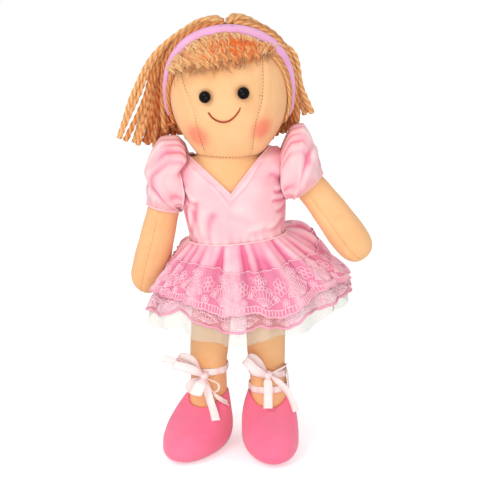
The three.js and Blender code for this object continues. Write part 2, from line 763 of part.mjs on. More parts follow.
// Arms: sewn at the shoulder, bent a little at the elbow, mitten hands
const arms = {
  left: { sign: -1, cap: leftCapSpread, spread: leftArmSpread, forearm: leftForearmSpread,
    length: leftForearmLength, ahead: leftArmAhead, sleeve: leftSleeveLength },
  right: { sign: 1, cap: rightCapSpread, spread: rightArmSpread, forearm: rightForearmSpread,
    length: rightForearmLength, ahead: rightArmAhead, sleeve: rightSleeveLength },
};
const armRootShift = trunkWidth / 2 + seatGap;
const sleevedLength = armRootLength + armCapLength + upperArmLength;

function armCurve(arm) {
  const aim = (angle) => {
    const forward = Math.sin(arm.ahead);
    const down = Math.cos(angle) * Math.cos(arm.ahead);
    return new THREE.Vector3(arm.sign * Math.sin(angle), -forward, -down).normalize();
  };
  const root = new THREE.Vector3(arm.sign * armRootShift, 0, shoulderRise);
  const joint = root.clone().addScaledVector(axisX, arm.sign * armRootLength);
  const hem = joint.clone().addScaledVector(aim(arm.cap), armCapLength);
  const elbow = hem.clone().addScaledVector(aim(arm.spread), upperArmLength);
  const hand = elbow.clone().addScaledVector(aim(arm.forearm), arm.length);
  return new THREE.CatmullRomCurve3([root, joint, hem, elbow, hand]);
}

const armWayShares = [0, 0.1, 0.25, 0.5, 0.72, 0.88, 0.95, 0.985, 1];
const armHalfShares = [0.72, 0.8, 0.88, 0.99, 1.08, 1.02, 0.82, 0.58, 0.26];

function readShare(ways, shares, way) {
  let k = 1;
  while (k < ways.length - 1 && way > ways[k]) {
    k += 1;
  }
  const between01 = (way - ways[k - 1]) / (ways[k] - ways[k - 1]);
  return shares[k - 1] + (shares[k] - shares[k - 1]) * between01;
}

const longStepShare = 0.15; // a longer step gets a ring in its middle

function armForm(arm, grow) {
  const curve = armCurve(arm);
  const rings = armWayShares.flatMap((way, k) => {
    const next = armWayShares[k + 1];
    return next === undefined || next - way < longStepShare ? [way] : [way, (way + next) / 2];
  }).map((way) => {
    const tangent = curve.getTangent(way);
    const across = axisY.clone().addScaledVector(tangent, -tangent.y).normalize();
    const along = new THREE.Vector3().crossVectors(tangent, across);
    const share = readShare(armWayShares, armHalfShares, way);
    const depthHalf = armDepthRadius * share + grow;
    return ring(curve.getPoint(way), across, along, depthHalf, armRadius * share + grow, 14);
  });
  return solidOf(stuffed(rings));
}

// Sleeves: a satin puff that rises from the armhole and closes in to its hem on the arm
const sleeveWayShares = [0, 0.1, 0.24, 0.46, 0.68, 0.86, 1];
const sleeveCapShares = [0, 0.88, 1, 0.6, 0.22, 0.05, 0];
const sleeveDepthShares = [0, 0.62, 1, 1, 0.72, 0.3, 0];

function sleeveRings(arm, inset) {
  const curve = armCurve(arm);
  const hemWay = arm.sleeve / (sleevedLength + arm.length);
  const hemCentre = curve.getPointAt(hemWay);
  const hemTangent = curve.getTangentAt(hemWay);
  const hemOutward = new THREE.Vector3(-hemTangent.z, 0, hemTangent.x).multiplyScalar(arm.sign);
  const armShare = readShare(armWayShares, armHalfShares, hemWay);
  const hemHalf = armRadius * armShare + sleeveHemGap + satin;
  const hemDepth = armDepthRadius * armShare + sleeveHemGap + satin;
  const side = trunkWidth / 2 + bodiceGap + satin + seatGap;
  const armpit = new THREE.Vector3(arm.sign * side, 0, armpitRise);
  const hemInner = hemCentre.clone().addScaledVector(hemOutward, -hemHalf);
  const hemOuter = hemCentre.clone().addScaledVector(hemOutward, hemHalf);
  const fromArmpit = hemOuter.clone().sub(armpit);
  const hemAngle = Math.atan2(arm.sign * fromArmpit.x, fromArmpit.z);
  const hemReach = Math.hypot(fromArmpit.x, fromArmpit.z);
  const across = axisY.clone().multiplyScalar(arm.sign);
  return sleeveWayShares.map((way, k) => {
    const angle = hemAngle * way;
    const plain = armholeTopReach + (hemReach - armholeTopReach) * Math.sqrt(way);
    const outerReach = plain + (sleeveCapReach - plain) * sleeveCapShares[k];
    const outer = armpit.clone();
    outer.x += arm.sign * outerReach * Math.sin(angle);
    outer.z += outerReach * Math.cos(angle);
    const inner = armpit.clone().lerp(hemInner, way);
    const centre = inner.clone().lerp(outer, 1 / 2);
    centre.y = hemCentre.y * way;
    const along = outer.sub(inner);
    const half = along.length() / 2 - inset;
    along.normalize();
    const narrow = armholeRadius + (hemDepth - armholeRadius) * way;
    const depthHalf = narrow + (sleeveDepth - narrow) * sleeveDepthShares[k] - inset;
    return ring(centre, across, along, depthHalf, half, 20);
  });
}

// The arm's flat inner face lies against the torso inside the armhole, and clears the bodice
// round it, so that it can swing
const bodiceSide = trunkWidth + 2 * (bodiceGap + satin + seatGap);
const armholeClear = cylinderAlong(axisX, armholeRadius - seatGap, reach, shoulderLevel, 20);
const besideTorso = solidOf(box(2 * armRootShift, reach, reach, 0, 0, 0));
const besideBodice = solidOf(box(bodiceSide, reach, reach, 0, 0, 0));
const armSeats = [besideTorso, without(besideBodice, [solidOf(armholeClear)])];

Object.entries(arms).forEach(([side, arm]) => {
  upperBody.add(part('arm_' + side, without(armForm(arm, 0), armSeats), skin));
  const sleeve = solidOf(clothShell(sleeveRings(arm, 0), sleeveRings(arm, satin)));
  upperBody.add(part('sleeve_' + side, without(sleeve, [armForm(arm, seatGap)]), pinkSatin));
});

// Skirt layers: gathered at the waist, flared, pleated, pressed in beside the hanging arm
const skirtSides = 36;
const flareShare = 1.25; // the flare is full before the hem
const dentShare = 0.9; // the dent is deepest a little above the middle
const skirtTopWidth = waistWidth + 2 * waistEase;
const skirtTopDepth = waistDepth + 2 * waistEase;

function skirtRing(layer, drop, inset) {
  const dropWay = drop / petticoatDrop;
  const flare = Math.sin((Math.PI / 2) * Math.min(1, dropWay * flareShare));
  const widthHalf = (skirtTopWidth + (skirtWidth - skirtTopWidth) * flare) / 2;
  const depthHalf = (skirtTopDepth + (skirtDepth - skirtTopDepth) * flare) / 2;
  const pitch = layerTopPitch + (layerHemPitch - layerTopPitch) * dropWay;
  const dentWay = Math.pow(Math.sin(Math.PI * dropWay * dentShare), 2);
  const points = [];
  for (let i = 0; i < skirtSides; i += 1) {
    const angle = (2 * Math.PI * i) / skirtSides;
    const fold = pleatDepth * dropWay * (Math.cos(pleatCount * angle) - 1);
    const away = armDentAngle - angle;
    const dent = armDentDepth * dentWay * Math.exp(-(away * away) / armDentSpread);
    const shrink = fold - dent - layer * pitch - inset;
    const x = (widthHalf + shrink) * Math.cos(angle) + skirtShift * flare;
    const y = (depthHalf + shrink) * Math.sin(angle);
    const rise = drop * dropWay * sideRiseShare * Math.pow(Math.cos(angle), 2);
    points.push(new THREE.Vector3(x, y, rise - drop - seatGap));
  }
  return points;
}

function skirtLayer(layer, drops) {
  const levels = drops.slice().reverse();
  const outer = levels.map((drop) => skirtRing(layer, drop, 0));
  const inner = levels.map((drop) => skirtRing(layer, drop, clothThickness));
  return solidOf(clothShell(outer, inner));
}

const satinDrops = [0, innerLayerStart, gatherDrop, upperLaceStart, satinSkirtDrop];
const upperLaceDrops = [upperLaceStart, satinSkirtDrop, upperLaceDrop];
const lowerLaceDrops = [innerLayerStart, gatherDrop, satinSkirtDrop, upperLaceDrop, lowerLaceDrop];
const petticoatDrops = lowerLaceDrops.concat([petticoatDrop]);
const outerLayerShare = -0.75; // the upper lace lies on the satin, most of a layer out
upperBody.add(part('skirt_satin', skirtLayer(0, satinDrops), pinkSatin));
upperBody.add(part('lace_upper', skirtLayer(outerLayerShare, upperLaceDrops), lace));
upperBody.add(part('lace_lower', skirtLayer(1, lowerLaceDrops), lace));
upperBody.add(part('petticoat', skirtLayer(2, petticoatDrops), tulle));

// Legs, feet and ankle ribbons
const legs = {
  left: { hip: leftHipShift, ankle: leftAnkleShift, turn: leftFootTurn, wrap: leftWrapHeight,
    bow: leftBowTurn },
  right: { hip: rightHipShift, ankle: rightAnkleShift, turn: rightFootTurn, wrap: rightWrapHeight,
    bow: rightBowTurn },
};

function legShiftAt(leg, height) {
  return leg.ankle + ((leg.hip - leg.ankle) * (height - ankleHeight)) / (hipHeight - ankleHeight);
}

function legForm(leg, grow) {
  const top = new THREE.SphereGeometry(legRadius + grow, 16, 10);
  top.rotateX(Math.PI / 2).translate(leg.hip, 0, hipHeight);
  const levels = [
    [legBottomHeight - grow, footEndRadius],
    [legBottomHeight + cutOverrun, ankleRadius],
    [ankleHeight, ankleRadius],
    [kneeHeight, kneeRadius],
    [hipHeight, legRadius],
  ];
  const rings = levels.map(([height, radius]) => {
    const centre = new THREE.Vector3(legShiftAt(leg, height), 0, height);
    return ring(centre, axisX, axisY, radius + grow, radius + grow, 16);
  });
  return solidOf(stuffed(rings)).add(solidOf(top));
}

// Shoe: level outlines from the sole up, as shares of height, toe, heel and width
const shoeLevelShares = [0, 0.06, 0.2, 0.42, 0.62, 0.8, 0.93, 1];
const shoeToeShares = [0.84, 0.95, 1, 0.97, 0.84, 0.6, 0.42, 0.36];
const shoeHeelShares = [0.94, 0.98, 1, 0.98, 0.92, 0.85, 0.79, 0.74];
const shoeHalfShares = [0.8, 0.93, 1, 1, 0.96, 0.9, 0.84, 0.8];

function shoeOutline(toe, heel, half, height) {
  const centre = new THREE.Vector3(0, (heel - toe) / 2, height);
  return ring(centre, axisX, axisY, half, (heel + toe) / 2, 20);
}

function footMatrix(leg) {
  const matrix = new THREE.Matrix4().makeRotationZ(leg.turn);
  return matrix.setPosition(leg.ankle, 0, 0);
}

function shoeForm(leg) {
  const bottom = soleThickness + seatGap;
  const rings = shoeLevelShares.map((level, k) => shoeOutline(
    shoeToeShares[k] * shoeToe,
    shoeHeelShares[k] * shoeHeel,
    (shoeHalfShares[k] * shoeWidth) / 2,
    bottom + level * (shoeHeight - bottom)));
  return solidOf(placed(stuffed(rings), footMatrix(leg)));
}

function soleForm(leg) {
  const toe = shoeToeShares[0] * shoeToe - soleInset;
  const heel = shoeHeelShares[0] * shoeHeel - soleInset;
  const half = (shoeHalfShares[0] * shoeWidth) / 2 - soleInset;
  const rings = [0, soleThickness].map((height) => shoeOutline(toe, heel, half, height));
  return placed(stuffed(rings), footMatrix(leg));
}

const wrapRadius = ankleRadius + ribbonGap + ribbonThickness;

function wrapForm(leg, height) {
  const outer = [];
  const inner = [];
  [-1, 1].forEach((end) => {
    const centre = new THREE.Vector3(0, 0, (end * ribbonWidth) / 2);
    outer.push(ring(centre, axisX, axisY, wrapRadius, wrapRadius, 20));
    inner.push(ring(centre, axisX, axisY, wrapRadius - ribbonThickness, wrapRadius - ribbonThickness, 20));
  });
  const shell = clothShell(outer, inner);
  return solidOf(shell.translate(legShiftAt(leg, height), 0, height));
}

// Bow: knot, two loops and two tails of flat ribbon. Each point is out to the side, ahead
// and up, as shares of the loop's or tail's length, of how far the bow stands off, and again
// of the length.
const loopShares = [[0.55, 1, 0.3], [1, 0.5, 0], [0.5, 0.33, -0.28]];
const tailShares = [[0.2, 1, -0.33], [0.385, 2.4, -0.8]];
const bowStand = 4.5; // how far the loops stand off the knot
const foldedThickness = 1.35; // ribbon doubled at its folds

function ribbonStrip(points, isLoop) {
  const curve = new THREE.CatmullRomCurve3(points);
  const halfWidth = (way) => {
    const fromKnot = isLoop ? 1 - Math.abs(2 * way - 1) : way;
    return (ribbonWidth / 2) * Math.min(1, bowPinch + 2 * fromKnot);
  };
  const halfThickness = () => foldedThickness / 2;
  return solidOf(swept(curve, axisZ, halfWidth, halfThickness, 5, 6));
}

function ribbonPoints(side, length, shares) {
  return shares.map(([out, ahead, up]) => new THREE.Vector3(
    side * length * out, -bowStand * ahead, length * up));
}

function bowForm(leg) {
  const knot = solidOf(new THREE.SphereGeometry(bowKnotRadius, 8, 6));
  const pieces = [knot];
  [-1, 1].forEach((side) => {
    const start = (side * bowKnotRadius) / 3;
    const loop = ribbonPoints(side, loopLength, loopShares);
    loop.unshift(new THREE.Vector3(start, 0, bowKnotRadius / 4));
    loop.push(new THREE.Vector3(start, 0, -bowKnotRadius / 2));
    pieces.push(ribbonStrip(loop, true));
    const tail = ribbonPoints(side, tailLength, tailShares);
    tail.unshift(new THREE.Vector3(start, 0, 0));
    pieces.push(ribbonStrip(tail, false));
  });
  const bow = geometryOf(joined(pieces));
  bow.translate(0, -wrapRadius - bowKnotRadius - seatGap, 0);
  bow.rotateZ(leg.bow);
  return solidOf(bow.translate(legShiftAt(leg, leg.wrap), 0, leg.wrap));
}

Object.entries(legs).forEach(([side, leg]) => {
  doll.add(part('leg_' + side, legForm(leg, 0), skin));
  const shoe = without(shoeForm(leg), [legForm(leg, seatGap)]);
  doll.add(part('shoe_' + side, shoe, jersey));
  doll.add(part('sole_' + side, soleForm(leg), jersey));
  doll.add(part('ankle_ribbon_' + side, wrapForm(leg, leg.wrap), paleRibbon));
  doll.add(part('bow_' + side, bowForm(leg), paleRibbon));
});
doll.add(part('ankle_strap_right', wrapForm(legs.right, strapHeight), paleRibbon));

// The origin is the middle of the doll's footprint box, on the floor
const bounds = new THREE.Box3().setFromObject(doll, true);
const middle = bounds.getCenter(new THREE.Vector3());
doll.position.set(-middle.x, -middle.y, -bounds.min.z);

export default doll;
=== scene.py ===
import bmesh
import bpy
import json
import numpy as np
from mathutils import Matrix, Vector


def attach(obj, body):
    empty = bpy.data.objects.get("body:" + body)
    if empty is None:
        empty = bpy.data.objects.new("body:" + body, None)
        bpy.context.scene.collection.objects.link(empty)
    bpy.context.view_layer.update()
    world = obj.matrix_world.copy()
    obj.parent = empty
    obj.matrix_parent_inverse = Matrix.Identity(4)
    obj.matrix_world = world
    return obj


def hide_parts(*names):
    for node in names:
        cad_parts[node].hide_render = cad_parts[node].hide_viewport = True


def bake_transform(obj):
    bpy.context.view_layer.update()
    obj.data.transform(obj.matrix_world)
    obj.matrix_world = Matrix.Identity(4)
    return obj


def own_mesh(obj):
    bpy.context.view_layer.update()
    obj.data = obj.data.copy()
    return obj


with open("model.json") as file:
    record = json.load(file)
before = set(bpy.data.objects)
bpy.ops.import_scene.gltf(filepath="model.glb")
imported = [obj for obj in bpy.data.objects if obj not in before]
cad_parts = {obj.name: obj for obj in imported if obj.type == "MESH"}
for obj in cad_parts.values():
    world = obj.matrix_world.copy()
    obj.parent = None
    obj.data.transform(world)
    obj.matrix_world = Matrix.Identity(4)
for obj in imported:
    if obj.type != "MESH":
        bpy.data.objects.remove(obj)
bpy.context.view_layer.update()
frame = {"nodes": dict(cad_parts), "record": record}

# Camera, floor and lights. The doll stands on a plain white floor that keeps its shadow, seen from
# a little above, under a large soft lamp from the front left, a low fill lamp and a white surround.
mm = 0.001
scene = bpy.context.scene
scene.view_settings.view_transform = "Standard"
view_shift = -3.3 * mm
camera_place = Vector((view_shift, -850 * mm, 385 * mm))
camera_aim = Vector((view_shift, 0, 168 * mm))
camera_angle = np.radians(24)
floor_half = 4000 * mm
floor_drop = 0.05 * mm
surround_light = 0.725
key_place = Vector((-650 * mm, -1000 * mm, 1150 * mm))
key_size = 480 * mm
key_power = 6.3
fill_place = Vector((40 * mm, -900 * mm, 90 * mm))
fill_size = 500 * mm
fill_power = 3.1
floor_glow = 0.42


def node(tree, kind, inputs=(), **settings):
    """One node of that kind. Its settings are set by name, and each input takes a value or a link."""
    made = tree.nodes.new("ShaderNode" + kind)
    for name, value in settings.items():
        setattr(made, name, value)
    for key, value in dict(inputs).items():
        if isinstance(value, bpy.types.NodeSocket):
            tree.links.new(value, made.inputs[key])
        else:
            made.inputs[key].default_value = value
    return made


def linear(code):
    """sRGB hex to linear: below 0.04045 a channel is divided by 12.92, above it the power is 2.4."""
    channels = np.array([int(code[k:k + 2], 16) for k in (1, 3, 5)]) / 255
    dark = channels / 12.92
    light = ((channels + 0.055) / 1.055) ** 2.4
    return (*np.where(channels <= 0.04045, dark, light), 1)


camera = bpy.data.objects.new("camera", bpy.data.cameras.new("camera"))
camera.data.angle = camera_angle
camera.location = camera_place
camera.rotation_euler = (camera_aim - camera_place).to_track_quat("-Z", "Y").to_euler()
scene.collection.objects.link(camera)
scene.camera = camera

lamps = {"key_lamp": (key_place, key_size, key_power), "fill_lamp": (fill_place, fill_size, fill_power)}
for name, (place, size, power) in lamps.items():
    lamp = bpy.data.objects.new(name, bpy.data.lights.new(name, "AREA"))
    lamp.data.shape = "DISK"
    lamp.data.size = size
    lamp.data.energy = power
    lamp.location = place
    lamp.rotation_euler = (camera_aim - place).to_track_quat("-Z", "Y").to_euler()
    scene.collection.objects.link(lamp)

world = bpy.data.worlds.new("surround")
world.use_nodes = True
scene.world = world
tree = world.node_tree
paths = node(tree, "LightPath").outputs
seen = node(tree, "Math", {0: paths["Is Camera Ray"], 1: paths["Is Glossy Ray"]}, operation="MAXIMUM")
seen = node(tree, "Math", {0: seen.outputs[0], 1: paths["Is Transmission Ray"]}, operation="MAXIMUM")
level = node(tree, "MapRange", {"Value": seen.outputs[0], "To Min": surround_light, "To Max": 1.0})
tree.links.new(level.outputs["Result"], tree.nodes["Background"].inputs["Strength"])
tree.nodes["Background"].inputs["Color"].default_value = (1, 1, 1, 1)

floor_mesh = bpy.data.meshes.new("floor")
corners = [(-1, -1), (1, -1), (1, 1), (-1, 1)]
places = [(x * floor_half, y * floor_half, -floor_drop) for x, y in corners]
floor_mesh.from_pydata(places, [], [(0, 1, 2, 3)])
floor = bpy.data.objects.new("floor", floor_mesh)
scene.collection.objects.link(floor)
floor_paint = bpy.data.materials.new("white_painted_floor")
floor_paint.use_nodes = True
tree = floor_paint.node_tree
shader = tree.nodes["Principled BSDF"]
shader.inputs["Base Color"].default_value = linear("#F7F7F7")
shader.inputs["Roughness"].default_value = 0.9
shader.inputs["Specular IOR Level"].default_value = 0.0
to_camera = node(tree, "LightPath").outputs["Is Camera Ray"]
glow = node(tree, "Math", {0: to_camera, 1: floor_glow}, operation="MULTIPLY")
shader.inputs["Emission Color"].default_value = (1, 1, 1, 1)
tree.links.new(glow.outputs[0], shader.inputs["Emission Strength"])
floor_mesh.materials.append(floor_paint)


# Stance. The upper body leans to one side on the hips, and the head stands upright on it. The lean
# and the neck are read from the model's own joints, and every piece above the waist is placed in
# the leaning frame at the waist seam or in the upright frame at the neck.
joints = {joint["name"]: joint for joint in frame["record"]["behaviour"]["joints"]}
neck_rise = 56.3
neck_shift = -1.2
right_way = -np.array(joints["shoulder_left"]["axis"])
up_way = np.array([-right_way[2], 0, right_way[0]])
back_way = np.array([0, 1.0, 0])
neck_pivot = np.array(joints["neck_nod"]["pos_m"])
waist = neck_pivot - mm * (neck_shift * right_way + neck_rise * up_way)


def from_waist(points):
    """Places in the leaning frame, in millimetres: waist plus x right, y back and z up its own axes."""
    return waist + mm * (points @ np.stack([right_way, back_way, up_way]))


def from_neck(points):
    """Places in the upright frame at the neck, in millimetres."""
    return neck_pivot + mm * points


# Knitted skin: a fine cotton jersey, dyed a warm peach and pulled tight by the filling. Its ribs
# are about half a millimetre apart, too fine to show, so they are drawn at a millimetre, and the
# dye is a little uneven. Each form is machine sewn with thread that shows as a dotted line.
skin_rib = 1.0


def new_material(name):
    """A node material of that name, its tree and its shader."""
    made = bpy.data.materials.new(name)
    made.use_nodes = True
    return made, made.node_tree, made.node_tree.nodes["Principled BSDF"]


def knit(name, colour, shade, rib, sheen, rouge_and_shade=()):
    """Jersey: colour broken by soft noise, ribs and rows as two waves in the bump, a dull sheen of
    fibres. Spots of rouge and of painted shade, each a (place, radius, colour, strength), are mixed
    into the colour."""
    made, tree, shader = new_material(name)
    place = node(tree, "TexCoord").outputs["Object"]
    cloud = node(tree, "TexNoise", {"Vector": place, "Scale": 1 / (22 * mm), "Detail": 3.0})
    cloud = node(tree, "MapRange", {"Value": cloud.outputs["Fac"], "From Min": 0.35, "From Max": 0.75})
    tone = node(tree, "Mix", {"Factor": cloud.outputs["Result"], 6: linear(colour), 7: linear(shade)},
                data_type="RGBA").outputs[2]
    # Spots of rouge and of painted shade, each strongest at its middle.
    for spot, radius, rouge_and_shade_colour, strength in rouge_and_shade:
        away = node(tree, "VectorMath", {0: place, 1: tuple(spot)}, operation="DISTANCE")
        rouge_and_shade_mask = node(tree, "MapRange", {"Value": away.outputs["Value"], "From Min": radius,
                                         "From Max": 0.15 * radius, "To Max": strength},
                      interpolation_type="SMOOTHERSTEP")
        tone = node(tree, "Mix", {"Factor": rouge_and_shade_mask.outputs["Result"], 6: tone, 7: linear(rouge_and_shade_colour)},
                    data_type="RGBA").outputs[2]
    tree.links.new(tone, shader.inputs["Base Color"])
    wave = {"Vector": place, "Scale": 1 / (3.2 * rib * mm), "Distortion": 1.2, "Detail": 1.0,
            "Detail Scale": 2.0}
    ribs, rows = (node(tree, "TexWave", wave, bands_direction=way).outputs["Fac"] for way in "XZ")
    weave = node(tree, "Math", {0: ribs, 1: rows}, operation="MULTIPLY")
    relief = node(tree, "Bump", {"Height": weave.outputs[0], "Distance": 0.12 * mm, "Strength": 0.5})
    tree.links.new(relief.outputs["Normal"], shader.inputs["Normal"])
    shader.inputs["Roughness"].default_value = 0.88
    shader.inputs["Sheen Weight"].default_value = sheen
    shader.inputs["Sheen Roughness"].default_value = 0.5
    shader.inputs["Specular IOR Level"].default_value = 0.25
    return made


def thread_cloth(name, colour, shade, roughness=0.75):
    """Spun thread: fine slanting fibres, drawn as a wave along the thread's own length."""
    made, tree, shader = new_material(name)
    flat = node(tree, "UVMap", uv_map="cloth").outputs["UV"]
    fibres = node(tree, "TexWave", {"Vector": flat, "Scale": 0.9, "Distortion": 1.5, "Detail": 2.0},
                  bands_direction="DIAGONAL")
    tone = node(tree, "Mix", {"Factor": fibres.outputs["Fac"], 6: linear(colour), 7: linear(shade)},
                data_type="RGBA").outputs[2]
    tree.links.new(tone, shader.inputs["Base Color"])
    relief = node(tree, "Bump", {"Height": fibres.outputs["Fac"], "Distance": 0.08 * mm, "Strength": 0.5})
    tree.links.new(relief.outputs["Normal"], shader.inputs["Normal"])
    shader.inputs["Roughness"].default_value = roughness
    return made


skin_jersey = knit("peach_cotton_jersey", "#F3BE89", "#EDB27B", skin_rib, 0.15)
seam_thread = thread_cloth("brown_polyester_thread", "#A67A50", "#8C6239")
peach_thread = thread_cloth("peach_polyester_thread", "#D2A070", "#BF8A58")
stitch_pitch = 2.5
stitch_length = 1.5
stitch_radius = 0.28


def unit(vectors):
    """Vectors divided by their lengths."""
    return vectors / np.maximum(np.linalg.norm(vectors, axis=-1, keepdims=True), 1e-12)


def distances(lines):
    """How far each point lies along its line, as the sum of the steps up to it."""
    steps = np.linalg.norm(np.diff(lines, axis=-2), axis=-1)
    return np.concatenate([np.zeros_like(steps[..., :1]), np.cumsum(steps, axis=-1)], axis=-1)


def read_line(line, run, wanted):
    """Places on a line at the wanted distances, read straight between those of its own points."""
    return np.stack([np.interp(wanted, run, line[:, axis]) for axis in range(3)], axis=-1)


def along_paths(lines, facing):
    """Side and outward directions along lines: outward is the facing direction less its share along
    the tangent, and side is the tangent crossed with it."""
    tangent = unit(np.gradient(lines, axis=1))
    outward = unit(facing - np.sum(facing * tangent, axis=2, keepdims=True) * tangent)
    return np.cross(tangent, outward), outward


def add_mesh(name, points, faces, flat, marks):
    """A mesh object of that name, with the flat places of its face corners as its UV map, in
    millimetres, and its marks as point attributes."""
    mesh = bpy.data.meshes.new(name)
    mesh.from_pydata(points.tolist(), [], faces)
    layer = mesh.uv_layers.new(name="cloth")
    layer.data.foreach_set("uv", flat.ravel())
    for mark, values in marks.items():
        attribute = mesh.attributes.new(mark, "FLOAT", "POINT")
        attribute.data.foreach_set("value", np.ascontiguousarray(values, dtype=np.float32).ravel())
    mesh.polygons.foreach_set("use_smooth", np.ones(len(mesh.polygons), bool))
    made = bpy.data.objects.new(name, mesh)
    scene.collection.objects.link(made)
    return made


def tubes(name, lines, radius, facing, sides=8, plies=0, pitch=1.0, depth=0.0, tint=None):
    """Closed tubes along many lines at once, in one mesh. A point is the line's point plus its
    radius along the turned side direction; plies swell the radius by a cosine that winds once a
    pitch. Both ends are closed by a point, and the faces are turned outwards."""
    count, steps = lines.shape[:2]
    side, outward = along_paths(lines, facing)
    run = distances(lines)[:, :, None] / mm
    angle = np.linspace(0, 2 * np.pi, sides, endpoint=False)[None, None, :]
    swell = 1 + depth * np.cos(plies * (angle - 2 * np.pi * run / pitch))
    radius = (np.broadcast_to(radius, (count, steps))[:, :, None] * swell)[..., None]
    rings = lines[:, :, None] + radius * (np.cos(angle)[..., None] * side[:, :, None]
                                          + np.sin(angle)[..., None] * outward[:, :, None])
    points = np.concatenate([rings.reshape(-1, 3), lines[:, 0], lines[:, -1]])
    n, v, u = [g.ravel() for g in np.meshgrid(np.arange(count), np.arange(steps - 1), np.arange(sides),
                                              indexing="ij")]
    ring = (n * steps + v) * sides
    around = (u + 1) % sides
    quads = np.stack([ring + u, ring + around, ring + sides + around, ring + sides + u], axis=1)
    flat_u = np.stack([u, u + 1, u + 1, u], axis=1) / sides
    flat_v = np.stack([run[n, v, 0], run[n, v, 0], run[n, v + 1, 0], run[n, v + 1, 0]], axis=1)
    n, u = [g.ravel() for g in np.meshgrid(np.arange(count), np.arange(sides), indexing="ij")]
    first = n * steps * sides
    last = first + (steps - 1) * sides
    around = (u + 1) % sides
    hub = count * steps * sides + n
    caps = np.concatenate([np.stack([first + around, first + u, hub], axis=1),
                           np.stack([last + u, last + around, hub + count], axis=1)])
    cap_flat = np.concatenate([np.stack([u + 1, u, u], axis=1), np.stack([u, u + 1, u], axis=1)]) / sides
    ends = np.zeros_like(cap_flat)
    ends[len(n):] = run[n, -1]
    flat = np.concatenate([np.stack([flat_u, flat_v], axis=2).reshape(-1, 2),
                           np.stack([cap_flat, ends], axis=2).reshape(-1, 2)])
    tint = np.zeros(count) if tint is None else tint
    tint = np.concatenate([np.repeat(tint, steps * sides), tint, tint])
    marks = {"tint": tint, "fold": 0.7 + 0 * tint}
    made = add_mesh(name, points, quads.tolist() + caps.tolist(), flat, marks)
    made.data.flip_normals()
    return made


def finish(made, body, slot, material, *replaced):
    """The piece's material, its body and the CAD nodes that it stands for, which are hidden; the slot is not
    used.
    """
    made.data.materials.append(material)
    if body:
        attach(made, body)
    if replaced:
        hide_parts(*replaced)
    return made


def stitches(name, line, facing, body, slot, material):
    """A row of machine stitches along a line: short sunk tubes, one each pitch."""
    run = distances(line) / mm
    starts = np.arange(0.5 * stitch_pitch, run[-1] - stitch_length, stitch_pitch)
    share = np.linspace(0, 1, 4)
    wanted = starts[:, None] + stitch_length * share[None]
    dashes, out = read_line(line, run, wanted), read_line(facing, run, wanted)
    dashes = dashes + out * (0.25 * np.sin(np.pi * share) * stitch_radius * mm)[None, :, None]
    radius = stitch_radius * mm * np.array([0.55, 1, 1, 0.55])[None]
    finish(tubes(name, dashes, radius, out, sides=6), body, slot, material)


# Head: a front panel and two side panels of jersey, stuffed hard, widest at the eyes and drawn in
# to the neck seam. Two seams run down the face, a short dart ends at the right eye, and the eyes
# pull hollows. The cheeks are rubbed with rouge; brown painted shade darkens the eye hollows, and
# a painted shadow of the fringe lies along the brow.
head_width = 91
head_depth = 81
head_top = 103
head_widest = 57
head_rim = 10
head_rim_radius = 25.8
crown_power = 2.2
left_seam = np.array([(-36.5, 80), (-33.1, 64.7), (-25.8, 46.4), (-23.5, 33.7), (-18.4, 13.7)])
right_seam = np.array([(24.0, 88), (24.9, 77.2), (24.5, 54.6), (19.9, 35.9), (17.6, 15.6)])
dart = np.array([(24.6, 56.1), (15.5, 57.4)])
eyes = {"left": (-16.2, 56.0), "right": (10.2, 59.0)}
eye_radius = 4.4
eye_dome = 3.4
cheeks = [(-23.0, 25.6, 10.0), (24.6, 31.4, 9.6)]
fringe_shadow_places = [(-29, 72), (-15, 75.5), (0, 77.5), (14, 81)]
mouth_middle = (-3.2, 42)


def head_half(full, rise):
    """Half width at a rise: a superellipse above the widest line, a parabola down to the rim."""
    up = np.clip((rise - head_widest) / (head_top - head_widest), 0, 1)
    down = np.clip((head_widest - rise) / (head_widest - head_rim), 0, None)
    above = full * (1 - up ** crown_power) ** (1 / crown_power)
    below = full - (full - head_rim_radius) * down ** 2
    return np.where(rise >= head_widest, above, below)


def head_form(angle, tilt):
    """The head at an angle round it and a tilt from the rim to the top: an oval of the two half
    widths at that rise."""
    rise = head_rim + (head_top - head_rim) * np.sin(tilt)
    x = head_half(head_width / 2, rise) * np.cos(angle)
    y = head_half(head_depth / 2, rise) * np.sin(angle)
    return np.stack([x, y, rise], axis=-1)


def face_forward(shift, rise):
    """The depth of the face's surface at a place, which is negative before the neck's axis."""
    share = np.clip(np.abs(shift) / head_half(head_width / 2, rise), 0, 1)
    return -head_half(head_depth / 2, rise) * np.sqrt(1 - share ** 2)


def seam_shift(seam, rise):
    """A seam's place across the face at a rise."""
    return np.interp(rise, seam[::-1, 1], seam[::-1, 0])


def bump(distance, width):
    """A bell: 1 at no distance, falling with the square of the distance over the width."""
    return np.exp(-(distance / width) ** 2)


def step(x):
    """Smooth step from 0 to 1: three squares less two cubes."""
    x = np.clip(x, 0, 1)
    return x * x * (3 - 2 * x)


def seal(made):
    """Merges doubles and, where the signed volume is negative, turns the faces round."""
    cloth = bmesh.new()
    cloth.from_mesh(made.data)
    bmesh.ops.remove_doubles(cloth, verts=cloth.verts, dist=0.001 * mm)
    if cloth.calc_volume(signed=True) < 0:
        bmesh.ops.reverse_faces(cloth, faces=cloth.faces)
    cloth.to_mesh(made.data)
    cloth.free()


